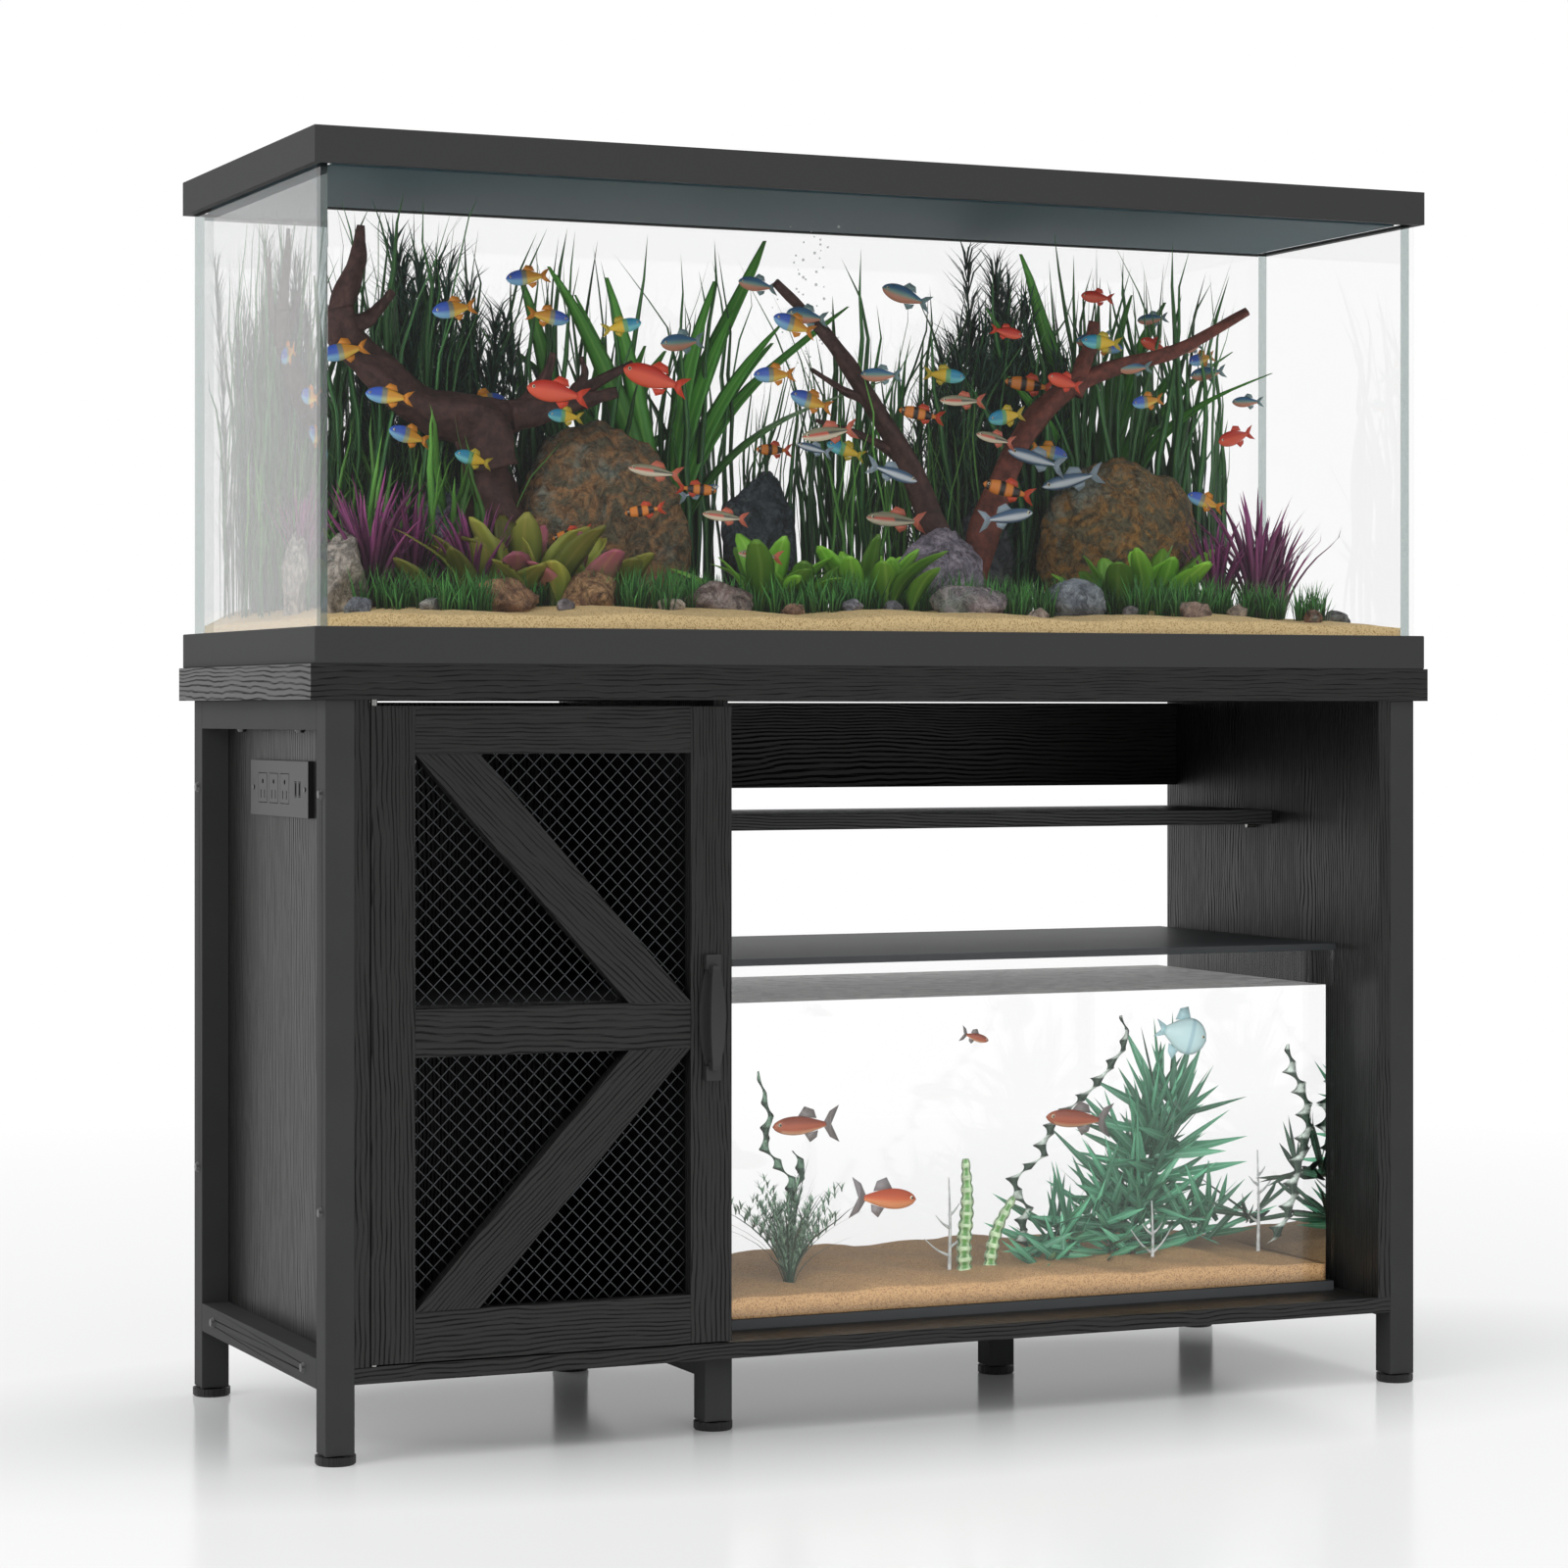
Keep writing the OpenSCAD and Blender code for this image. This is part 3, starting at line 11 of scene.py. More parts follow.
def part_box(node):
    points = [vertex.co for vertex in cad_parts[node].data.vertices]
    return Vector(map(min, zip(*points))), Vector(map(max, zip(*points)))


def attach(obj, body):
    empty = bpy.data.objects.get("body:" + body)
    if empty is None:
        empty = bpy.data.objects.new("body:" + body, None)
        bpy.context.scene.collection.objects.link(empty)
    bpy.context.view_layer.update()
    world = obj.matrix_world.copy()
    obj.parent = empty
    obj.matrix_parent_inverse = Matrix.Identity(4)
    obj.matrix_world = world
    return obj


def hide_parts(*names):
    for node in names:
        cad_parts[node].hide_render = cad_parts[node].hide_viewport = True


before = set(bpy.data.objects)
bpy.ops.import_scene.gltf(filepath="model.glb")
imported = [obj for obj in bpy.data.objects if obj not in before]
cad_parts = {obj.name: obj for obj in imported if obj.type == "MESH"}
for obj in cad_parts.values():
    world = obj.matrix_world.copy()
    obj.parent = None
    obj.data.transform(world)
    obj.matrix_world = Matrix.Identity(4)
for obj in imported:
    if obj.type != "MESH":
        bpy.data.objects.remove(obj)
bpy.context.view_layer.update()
scene = bpy.context.scene
MM = 0.001


# Small tools ---------------------------------------------------------------------------------------------

def srgb(code):
    """A hex colour as linear values, with 1 as its alpha."""
    shares = [int(code[i:i + 2], 16) / 255 for i in (1, 3, 5)]
    linear = [s / 12.92 if s <= 0.04045 else ((s + 0.055) / 1.055) ** 2.4 for s in shares]
    return (*linear, 1.0)


def supply(tree, node, inputs):
    """Sets inputs of a node: each is a value, a socket to link, or a node whose first output is linked."""
    for name, value in inputs.items():
        if isinstance(value, bpy.types.Node):
            value = value.outputs[0]
        if isinstance(value, bpy.types.NodeSocket):
            tree.links.new(value, node.inputs[name])
        else:
            node.inputs[name].default_value = value


def add(tree, kind, inputs=None, **settings):
    """Adds a node of a kind with its inputs. The settings are its properties."""
    node = tree.nodes.new(kind)
    for name, value in settings.items():
        setattr(node, name, value)
    supply(tree, node, inputs or {})
    return node


def new_material(name):
    """An empty material and its tree."""
    material = bpy.data.materials.new(name)
    material.use_nodes = True
    material.node_tree.nodes.clear()
    return material, material.node_tree


def new_finish(name, colour, roughness, **more):
    """A material with one Principled shader. Returns it with its tree, shader and object coordinates."""
    material, tree = new_material(name)
    shader = add(tree, "ShaderNodeBsdfPrincipled", {"Base Color": srgb(colour), "Roughness": roughness})
    for socket, value in more.items():
        shader.inputs[socket.replace("_", " ")].default_value = value
    add(tree, "ShaderNodeOutputMaterial", {"Surface": shader})
    place = add(tree, "ShaderNodeTexCoord").outputs["Object"]
    return material, tree, shader, place


def link_object(name, mesh):
    """A new object at the origin that shows a mesh."""
    obj = bpy.data.objects.new(name, mesh)
    scene.collection.objects.link(obj)
    return obj


def new_piece(name, verts, faces, smooth=True, **attributes):
    """A piece from vertices and faces, with one float or colour per vertex for each named attribute."""
    mesh = bpy.data.meshes.new(name)
    mesh.from_pydata([tuple(v) for v in verts], [], faces)
    mesh.polygons.foreach_set("use_smooth", [smooth] * len(mesh.polygons))
    for key, values in attributes.items():
        if isinstance(values[0], tuple):
            layer = mesh.attributes.new(key, "FLOAT_COLOR", "POINT")
            layer.data.foreach_set("color", [c for value in values for c in value])
        else:
            layer = mesh.attributes.new(key, "FLOAT", "POINT")
            layer.data.foreach_set("value", values)
    return link_object(name, mesh)


class Gather:
    """Collects many small forms into the vertices, faces and attributes of one piece."""

    def __init__(self):
        self.verts = []
        self.faces = []
        self.attributes = {}

    def take(self, verts, faces, **attributes):
        start = len(self.verts)
        self.verts += verts
        self.faces += [tuple(start + i for i in face) for face in faces]
        for key, values in attributes.items():
            filled = values if isinstance(values, list) else [values] * len(verts)
            self.attributes.setdefault(key, []).extend(filled)

    def piece(self, name):
        return new_piece(name, self.verts, self.faces, **self.attributes)


def unpack(form):
    """Corners and faces of a bmesh, which is then freed."""
    corners = [v.co.copy() for v in form.verts]
    faces = [tuple(v.index for v in f.verts) for f in form.faces]
    form.free()
    return corners, faces


def fit(piece, material, stands_for=()):
    """Gives a piece its material and hides the CAD nodes that it stands for. It rides on the stand."""
    piece.data.materials.clear()
    piece.data.materials.append(material)
    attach(piece, "stand")
    if stands_for:
        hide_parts(*stands_for)
    return piece


def ring_faces(rings, sides):
    """Faces of a tube of rings of vertices, with its two ends closed."""
    faces = []
    for r in range(rings - 1):
        for s in range(sides):
            t = (s + 1) % sides
            faces.append((r * sides + s, r * sides + t, (r + 1) * sides + t, (r + 1) * sides + s))
    faces.append(tuple(reversed(range(sides))))
    faces.append(tuple((rings - 1) * sides + s for s in range(sides)))
    return faces


def smooth_path(points, steps):
    """A Catmull-Rom curve through the points, with steps samples for each stretch."""
    ends = [2 * points[0] - points[1]] + points + [2 * points[-1] - points[-2]]
    out = []
    for i in range(1, len(ends) - 2):
        a, b, c, d = ends[i - 1:i + 3]
        for j in range(steps):
            t = j / steps
            out.append(0.5 * (2 * b + (c - a) * t + (2 * a - 5 * b + 4 * c - d) * t * t
                              + (3 * b - a - 3 * c + d) * t ** 3))
    return out + [points[-1]]


def sweep(path, radius_at, sides):
    """Rings of vertices about a path, radius_at(k, angle, point) from it, turned as little as may be."""
    side = Vector((0.3, 1, 0.2)).normalized()
    verts = []
    last = len(path) - 1
    for i, point in enumerate(path):
        ahead = (path[min(i + 1, last)] - path[max(i - 1, 0)]).normalized()
        side = (side - ahead * side.dot(ahead)).normalized()
        other = ahead.cross(side)
        for s in range(sides):
            angle = math.tau * s / sides
            outwards = side * math.cos(angle) + other * math.sin(angle)
            verts.append(point + outwards * radius_at(i / last, angle, point))
    return verts


# The tanks' inner spaces, from the frame ------------------------------------------------------------------

sand_low, sand_high = (Vector(corner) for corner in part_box("sand_bed"))
low_sand_low, low_sand_high = (Vector(corner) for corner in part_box("lower_sand"))
tray_low = Vector(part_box("cover_tray")[0])
MID_Y = (sand_low.y + sand_high.y) / 2      # middle of the tank's depth
IN_W = sand_high.x                          # half width and half depth inside the panes
IN_D = sand_high.y - MID_Y
PANE_Z = sand_low.z                         # upper face of the bottom pane
WATER_H = tray_low.z - PANE_Z
LOW_X = (low_sand_low.x + low_sand_high.x) / 2
LOW_Y = (low_sand_low.y + low_sand_high.y) / 2
LOW_W = low_sand_high.x - LOW_X
LOW_D = low_sand_high.y - LOW_Y
LOW_Z = low_sand_low.z
LOW_WATER_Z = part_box("lower_long_panes")[1][2] - 37.4 * MM      # two fingers under the lower tank's rim


def spot(u, v, z):
    """A place in the upper tank: shares of its half width and half depth, and millimetres over its pane."""
    return Vector((u * IN_W, MID_Y + v * IN_D, PANE_Z + z * MM))


def low_spot(u, v, z):
    """The same in the lower tank."""
    return Vector((LOW_X + u * LOW_W, LOW_Y + v * LOW_D, LOW_Z + z * MM))


def tank_point(x, y, z):
    """A place in the upper tank, in millimetres from its middle and from the ground."""
    return Vector((x * MM, MID_Y + y * MM, z * MM))


def sand_top(u, v):
    """Height of the sand's surface in millimetres, as its CAD solid has it: 20 mm rise, with low waves."""
    edge = (1 - abs(u) ** 10) * (1 - 0.55 * abs(v) ** 12)
    wave = (2.4 * math.sin(math.radians(u * 700 + 40)) + 1.8 * math.sin(math.radians(u * 1500 + v * 300))
            + 1.2 * math.cos(math.radians(v * 420 + u * 260)))
    return 28 + 20 * edge * (0.75 + 0.25 * v) + edge * wave


# Camera and studio ----------------------------------------------------------------------------------------

EYE = (-1.7559, -3.8818, 0.7133)            # in front, to the left, and just under the tabletop's height
EYE_TURN = -23.94                           # degrees; the view is level, so that upright lines stay upright
FOCAL_LENGTH = 92.64                        # millimetres, for a sensor 36 mm wide
RISE = -0.0453                              # shift of the lens, as a share of the picture


def set_camera():
    lens = bpy.data.cameras.new("camera")
    lens.lens = FOCAL_LENGTH
    lens.sensor_width = 36
    lens.shift_y = RISE
    camera = bpy.data.objects.new("camera", lens)
    camera.location = EYE
    camera.rotation_euler = (math.radians(90), 0, math.radians(EYE_TURN))
    scene.collection.objects.link(camera)
    scene.camera = camera


def set_world():
    """White for what is seen and mirrored, darker on the front side for mirrors, a soft grey as light."""
    world = bpy.data.worlds.new("studio")
    scene.world = world
    world.use_nodes = True
    tree = world.node_tree
    tree.nodes.clear()
    path = add(tree, "ShaderNodeLightPath")
    seen = add(tree, "ShaderNodeMath", {0: path.outputs["Is Camera Ray"],
                                        1: path.outputs["Is Transmission Ray"]}, operation="MAXIMUM")
    way = add(tree, "ShaderNodeTexCoord").outputs["Generated"]
    depth = add(tree, "ShaderNodeSeparateXYZ", {0: way}).outputs["Y"]
    front = add(tree, "ShaderNodeMapRange", {"Value": depth, "From Min": -0.75, "From Max": -0.1,
                                             "To Min": 0.22, "To Max": 1.0})
    mirrored = add(tree, "ShaderNodeBackground", {"Color": srgb("#ffffff"), "Strength": front})
    white = add(tree, "ShaderNodeBackground", {"Color": srgb("#ffffff"), "Strength": 1.0})
    ambient = add(tree, "ShaderNodeBackground", {"Color": srgb("#fbfdff"), "Strength": 0.52})
    glossy = add(tree, "ShaderNodeMixShader", {0: path.outputs["Is Glossy Ray"], 1: ambient,
                                               2: mirrored})
    both = add(tree, "ShaderNodeMixShader", {0: seen, 1: glossy, 2: white})
    add(tree, "ShaderNodeOutputWorld", {"Surface": both})


def softbox(name, place, target, size, power, only=None):
    """A square area light that lights softly and isn't itself mirrored; only names the pieces it lights."""
    lamp = bpy.data.lights.new(name, "AREA")
    lamp.size = size
    lamp.energy = power
    obj = bpy.data.objects.new(name, lamp)
    obj.location = place
    obj.rotation_euler = (Vector(target) - Vector(place)).to_track_quat("-Z", "Y").to_euler()
    obj.visible_glossy = False
    obj.visible_transmission = False
    obj.visible_camera = False
    scene.collection.objects.link(obj)
    if only:
        lit = bpy.data.collections.new(name + " receivers")
        for piece in only:
            lit.objects.link(bpy.data.objects[piece])
        obj.light_linking.receiver_collection = lit


def set_floor():
    """A pale floor that reads as white, keeps the soft shadow and mirrors the legs a little."""
    size = 9        # metres either way
    corners = [(-size, -size, 0), (size, -size, 0), (size, size, 0), (-size, size, 0)]
    floor = new_piece("floor", corners, [(0, 1, 2, 3)], smooth=False)
    material, tree = new_material("pale studio floor")
    path = add(tree, "ShaderNodeLightPath")
    seen = add(tree, "ShaderNodeMath", {0: path.outputs["Is Camera Ray"],
                                        1: path.outputs["Is Transmission Ray"]}, operation="MAXIMUM")
    watched = add(tree, "ShaderNodeMath", {0: seen, 1: path.outputs["Is Glossy Ray"]},
                  operation="MAXIMUM")
    place = add(tree, "ShaderNodeTexCoord").outputs["Object"]
    # the floor's own shade fades to white round the stand, and a little more far away from it
    away = add(tree, "ShaderNodeVectorMath", {0: place}, operation="LENGTH")
    far = add(tree, "ShaderNodeMapRange", {"Value": away.outputs["Value"], "From Min": 0.9, "From Max": 3.0,
                                           "To Min": 0.0, "To Max": 0.36})
    stretched = add(tree, "ShaderNodeVectorMath", {0: place, 1: (1, 2.3, 1)}, operation="MULTIPLY")
    beside = add(tree, "ShaderNodeVectorMath", {0: stretched}, operation="LENGTH")
    near = add(tree, "ShaderNodeMapRange", {"Value": beside.outputs["Value"], "From Min": 0.55,
                                            "From Max": 1.2, "To Min": 0.02, "To Max": 0.64})
    fade = add(tree, "ShaderNodeMath", {0: near, 1: far}, operation="ADD")
    share = add(tree, "ShaderNodeMath", {0: watched, 1: fade}, operation="MULTIPLY")
    matt = add(tree, "ShaderNodeBsdfDiffuse", {"Color": srgb("#f2f2f2")})
    gloss = add(tree, "ShaderNodeBsdfGlossy", {"Color": srgb("#ffffff"), "Roughness": 0.16})
    lit = add(tree, "ShaderNodeMixShader", {0: 0.30, 1: matt, 2: gloss})
    glow = add(tree, "ShaderNodeEmission", {"Color": srgb("#ffffff"), "Strength": 1.0})
    both = add(tree, "ShaderNodeMixShader", {0: share, 1: lit, 2: glow})
    add(tree, "ShaderNodeOutputMaterial", {"Surface": both})
    floor.data.materials.append(material)


# Finishes of the stand ------------------------------------------------------------------------------------

def coated_steel():
    """Powder-coated steel: satin dark grey with a fine orange peel about a millimetre across."""
    material, tree, shader, place = new_finish("powder coated steel", "#3e3e3e", 0.6,
                                               Specular_IOR_Level=0.1)
    peel = add(tree, "ShaderNodeTexNoise", {"Vector": place, "Scale": 900, "Detail": 2})
    bump = add(tree, "ShaderNodeBump", {"Height": peel, "Strength": 0.25, "Distance": 0.2 * MM})
    supply(tree, shader, {"Normal": bump})
    broad = add(tree, "ShaderNodeTexNoise", {"Vector": place, "Scale": 14, "Detail": 3})
    tone = add(tree, "ShaderNodeMix", {0: broad, 6: srgb("#3d3d3d"), 7: srgb("#464646")},
               data_type="RGBA")
    supply(tree, shader, {"Base Color": tone.outputs[2]})
    return material


def grain(tree, along):
    """Height of an embossed ash grain, from coordinates whose Z runs along it: wavy lines and short pores.
    The lines stand a millimetre further apart than on most such boards, so that they show."""
    spacing = 4.5 * MM
    arching, waving = 95, 14        # radians by which broad arches and small waves carry a line aside
    aside = add(tree, "ShaderNodeSeparateXYZ", {0: along})
    width = add(tree, "ShaderNodeMath", {0: aside.outputs["X"], 1: aside.outputs["Y"]}, operation="ADD")
    even = add(tree, "ShaderNodeMath", {0: width, 1: math.tau / spacing}, operation="MULTIPLY")
    swell = add(tree, "ShaderNodeMapping", {"Vector": along, "Scale": (9, 9, 0.9)})
    arches = add(tree, "ShaderNodeTexNoise", {"Vector": swell, "Scale": 1, "Detail": 1})
    wander = add(tree, "ShaderNodeMapping", {"Vector": along, "Scale": (22, 22, 13)})
    waves = add(tree, "ShaderNodeTexNoise", {"Vector": wander, "Scale": 1, "Detail": 2})
    arched = add(tree, "ShaderNodeMath", {0: arches, 1: arching, 2: even}, operation="MULTIPLY_ADD")
    wavy = add(tree, "ShaderNodeMath", {0: waves, 1: waving, 2: arched}, operation="MULTIPLY_ADD")
    lines = add(tree, "ShaderNodeMath", {0: wavy}, operation="SINE")
    sharp = add(tree, "ShaderNodeMapRange", {"Value": lines, "From Min": 0.2, "From Max": 0.85})
    fine = add(tree, "ShaderNodeMapping", {"Vector": along, "Scale": (620, 620, 16)})
    pores = add(tree, "ShaderNodeTexNoise", {"Vector": fine, "Scale": 1, "Detail": 1})
    dashes = add(tree, "ShaderNodeMapRange", {"Value": pores, "From Min": 0.4, "From Max": 0.58,
                                              "To Min": 0.35, "To Max": 1.0})
    both = add(tree, "ShaderNodeMath", {0: sharp, 1: dashes}, operation="MULTIPLY")
    return both


# colour of the grain's lines, colour between them, and roughness
BLACK_ASH = ("#020202", "#20201f", 0.42)
SHELF_ASH = ("#2a2a2a", "#3e3e3e", 0.5)
# turns that bring the grain's way onto Z
UPRIGHT = (0, 0, 0)
SIDEWAYS = (0, math.radians(90), 0)


def emboss(tree, shader, along, look):
    """Draws the grain on a board: its lines are sunk, darker and matt."""
    dark, pale, roughness = look
    relief = grain(tree, along)
    tone = add(tree, "ShaderNodeMix", {0: relief, 6: srgb(pale), 7: srgb(dark)}, data_type="RGBA")
    supply(tree, shader, {"Base Color": tone.outputs[2]})
    bump = add(tree, "ShaderNodeBump", {"Height": relief, "Strength": 0.9, "Distance": 1.0 * MM},
               invert=True)
    supply(tree, shader, {"Normal": bump})
    rough = add(tree, "ShaderNodeMapRange", {"Value": relief, "To Min": roughness - 0.06, "To Max": 0.85})
    supply(tree, shader, {"Roughness": rough})


def laminate(name, turns, split=None, look=BLACK_ASH):
    """Melamine-faced particle board with an open ash grain. Of two turns, the first is used above the
    height split and the second below it, as the door's upper and lower brace need."""
    material, tree, shader, place = new_finish(name, look[0], look[2])
    ways = [add(tree, "ShaderNodeVectorRotate", {"Vector": place, "Rotation": turn},
                rotation_type="EULER_XYZ") for turn in turns]
    along = ways[0]
    if split:
        height = add(tree, "ShaderNodeSeparateXYZ", {0: place}).outputs["Z"]
        above = add(tree, "ShaderNodeMath", {0: height, 1: split}, operation="GREATER_THAN")
        along = add(tree, "ShaderNodeMix", {0: above, 4: ways[1], 5: ways[0]},
                    data_type="VECTOR").outputs[1]
    emboss(tree, shader, along, look)
    return material


def tabletop_laminate():
    """The same board with the grain running along every edge of the tabletop."""
    name = "embossed black melamine, tabletop"
    material, tree, shader, place = new_finish(name, BLACK_ASH[0], BLACK_ASH[2])
    flat = add(tree, "ShaderNodeSeparateXYZ", {0: place})
    run = add(tree, "ShaderNodeMath", {0: flat.outputs["X"], 1: flat.outputs["Y"]}, operation="ADD")
    along = add(tree, "ShaderNodeCombineXYZ", {"X": flat.outputs["Z"], "Z": run})
    emboss(tree, shader, along, BLACK_ASH)
    return material


def moulded(name, colour, roughness, grit=0.9, **more):
    """A moulded or cast part with an eroded texture, grit millimetres across and drawn coarse to show."""
    material, tree, shader, place = new_finish(name, colour, roughness, **more)
    texture = add(tree, "ShaderNodeTexNoise", {"Vector": place, "Scale": 1 / (grit * MM), "Detail": 2})
    bump = add(tree, "ShaderNodeBump", {"Height": texture, "Strength": 0.2, "Distance": 0.1 * MM})
    supply(tree, shader, {"Normal": bump})
    rough = add(tree, "ShaderNodeMapRange", {"Value": texture, "To Min": roughness - 0.06,
                                             "To Max": roughness + 0.08})
    supply(tree, shader, {"Roughness": rough})
    return material


def knurled():
    """Black polypropylene feet with upright ribs about 1.5 mm apart round their rims."""
    material, tree, shader, place = new_finish("moulded black polypropylene, knurled", "#1c1c1c", 0.5)
    upright = add(tree, "ShaderNodeVectorMath", {0: place, 1: (1, 1, 0)}, operation="MULTIPLY")
    ribs = add(tree, "ShaderNodeTexNoise", {"Vector": upright, "Scale": 650, "Detail": 0})
    bump = add(tree, "ShaderNodeBump", {"Height": ribs, "Strength": 1.0, "Distance": 1.5 * MM})
    supply(tree, shader, {"Normal": bump})
    return material


def bare_metal(name, colour, roughness):
    """Plated or drawn steel with faint streaks."""
    material, tree, shader, place = new_finish(name, colour, roughness, Metallic=1.0)
    streaks = add(tree, "ShaderNodeTexNoise", {"Vector": place, "Scale": 400, "Detail": 2})
    rough = add(tree, "ShaderNodeMapRange", {"Value": streaks, "To Min": roughness - 0.08,
                                             "To Max": roughness + 0.12})
    supply(tree, shader, {"Roughness": rough})
    return material


RIGHT_END = 0.4     # metres along X: beyond it stand only the right end panes of both tanks


def pane_glass(name, tint, least=0.02, right_end=None):
    """Float glass: clear, and each face mirrors a few hundredths, rising steeply at a glancing angle.
    Beyond right_end, a place along X, it mirrors nothing, so that the fish aren't seen twice."""
    material, tree = new_material(name)
    clear = add(tree, "ShaderNodeBsdfTransparent", {"Color": srgb(tint)})
    mirror = add(tree, "ShaderNodeBsdfGlossy", {"Color": srgb("#ffffff"), "Roughness": 0.01})
    facing = add(tree, "ShaderNodeLayerWeight", {"Blend": 0.5}).outputs["Facing"]
    steep = add(tree, "ShaderNodeMath", {0: facing, 1: 5.0}, operation="POWER")
    amount = add(tree, "ShaderNodeMapRange", {"Value": steep, "To Min": least, "To Max": 0.9})
    if right_end is not None:
        place = add(tree, "ShaderNodeTexCoord").outputs["Object"]
        sideways = add(tree, "ShaderNodeSeparateXYZ", {0: place}).outputs["X"]
        kept = add(tree, "ShaderNodeMath", {0: sideways, 1: right_end}, operation="LESS_THAN")
        amount = add(tree, "ShaderNodeMath", {0: amount, 1: kept}, operation="MULTIPLY")
    both = add(tree, "ShaderNodeMixShader", {0: amount, 1: clear, 2: mirror})
    add(tree, "ShaderNodeOutputMaterial", {"Surface": both})
    return material


def smoked_lid():
    """Thick smoked acrylic with a satin upper face: mostly grey, with a hint of what lies behind it."""
    material, tree, shader, place = new_finish("smoked satin acrylic", "#45484a", 0.5, Alpha=0.86, IOR=1.3)
    haze = add(tree, "ShaderNodeTexNoise", {"Vector": place, "Scale": 8, "Detail": 2})
    tone = add(tree, "ShaderNodeMix", {0: haze, 6: srgb("#3e4143"), 7: srgb("#4b4e50")},
               data_type="RGBA")
    supply(tree, shader, {"Base Color": tone.outputs[2]})
    return material


def still_water(name, tint):
    """Fresh water: it bends what lies in it, and lamp light and diffuse light pass it straight."""
    index = 1.333
    material, tree = new_material(name)
    bent = add(tree, "ShaderNodeBsdfRefraction", {"Color": srgb(tint), "Roughness": 0.0, "IOR": index})
    mirror = add(tree, "ShaderNodeBsdfGlossy", {"Color": srgb("#ffffff"), "Roughness": 0.0})
    edge = add(tree, "ShaderNodeFresnel", {"IOR": index})
    water = add(tree, "ShaderNodeMixShader", {0: edge, 1: bent, 2: mirror})
    path = add(tree, "ShaderNodeLightPath")
    straight = add(tree, "ShaderNodeMath", {0: path.outputs["Is Shadow Ray"],
                                            1: path.outputs["Is Diffuse Ray"]}, operation="MAXIMUM")
    clear = add(tree, "ShaderNodeBsdfTransparent", {"Color": srgb("#ffffff")})
    both = add(tree, "ShaderNodeMixShader", {0: straight, 1: water, 2: clear})
    add(tree, "ShaderNodeOutputMaterial", {"Surface": both})
    return material


def shaded_surface():
    """The lower tank's surface: painted shade from the lid and painted reflections of the dark boards in
    soft patches.
    """
    name = "water surface, painted shade and reflections"
    material, tree, shader, place = new_finish(name, "#8a8780", 0.5, Alpha=0.85, Specular_IOR_Level=0.15)
    reflection_noise = add(tree, "ShaderNodeTexNoise", {"Vector": place, "Scale": 22, "Detail": 2,
                                               "Distortion": 1.5})
    patches = add(tree, "ShaderNodeMapRange", {"Value": reflection_noise, "From Min": 0.4, "From Max": 0.62})
    # painted reflection: the noise mixes a pale and a dark grey in patches that stand for the mirrored
    # boards
    tone = add(tree, "ShaderNodeMix", {0: patches, 6: srgb("#9d9a92"), 7: srgb("#5f5f56")},
               data_type="RGBA")
    supply(tree, shader, {"Base Color": tone.outputs[2]})
    return material


def soften(name, width=0.6):
    """Rounds the edges of a CAD piece by a fraction of a millimetre, so that they catch the light."""
    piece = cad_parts[name]
    weld = piece.modifiers.new("weld", "WELD")
    weld.merge_threshold = 0.01 * MM
    bevel = piece.modifiers.new("edges", "BEVEL")
    bevel.width = width * MM
    bevel.segments = 2
    bevel.limit_method = "ANGLE"
    bevel.angle_limit = math.radians(40)


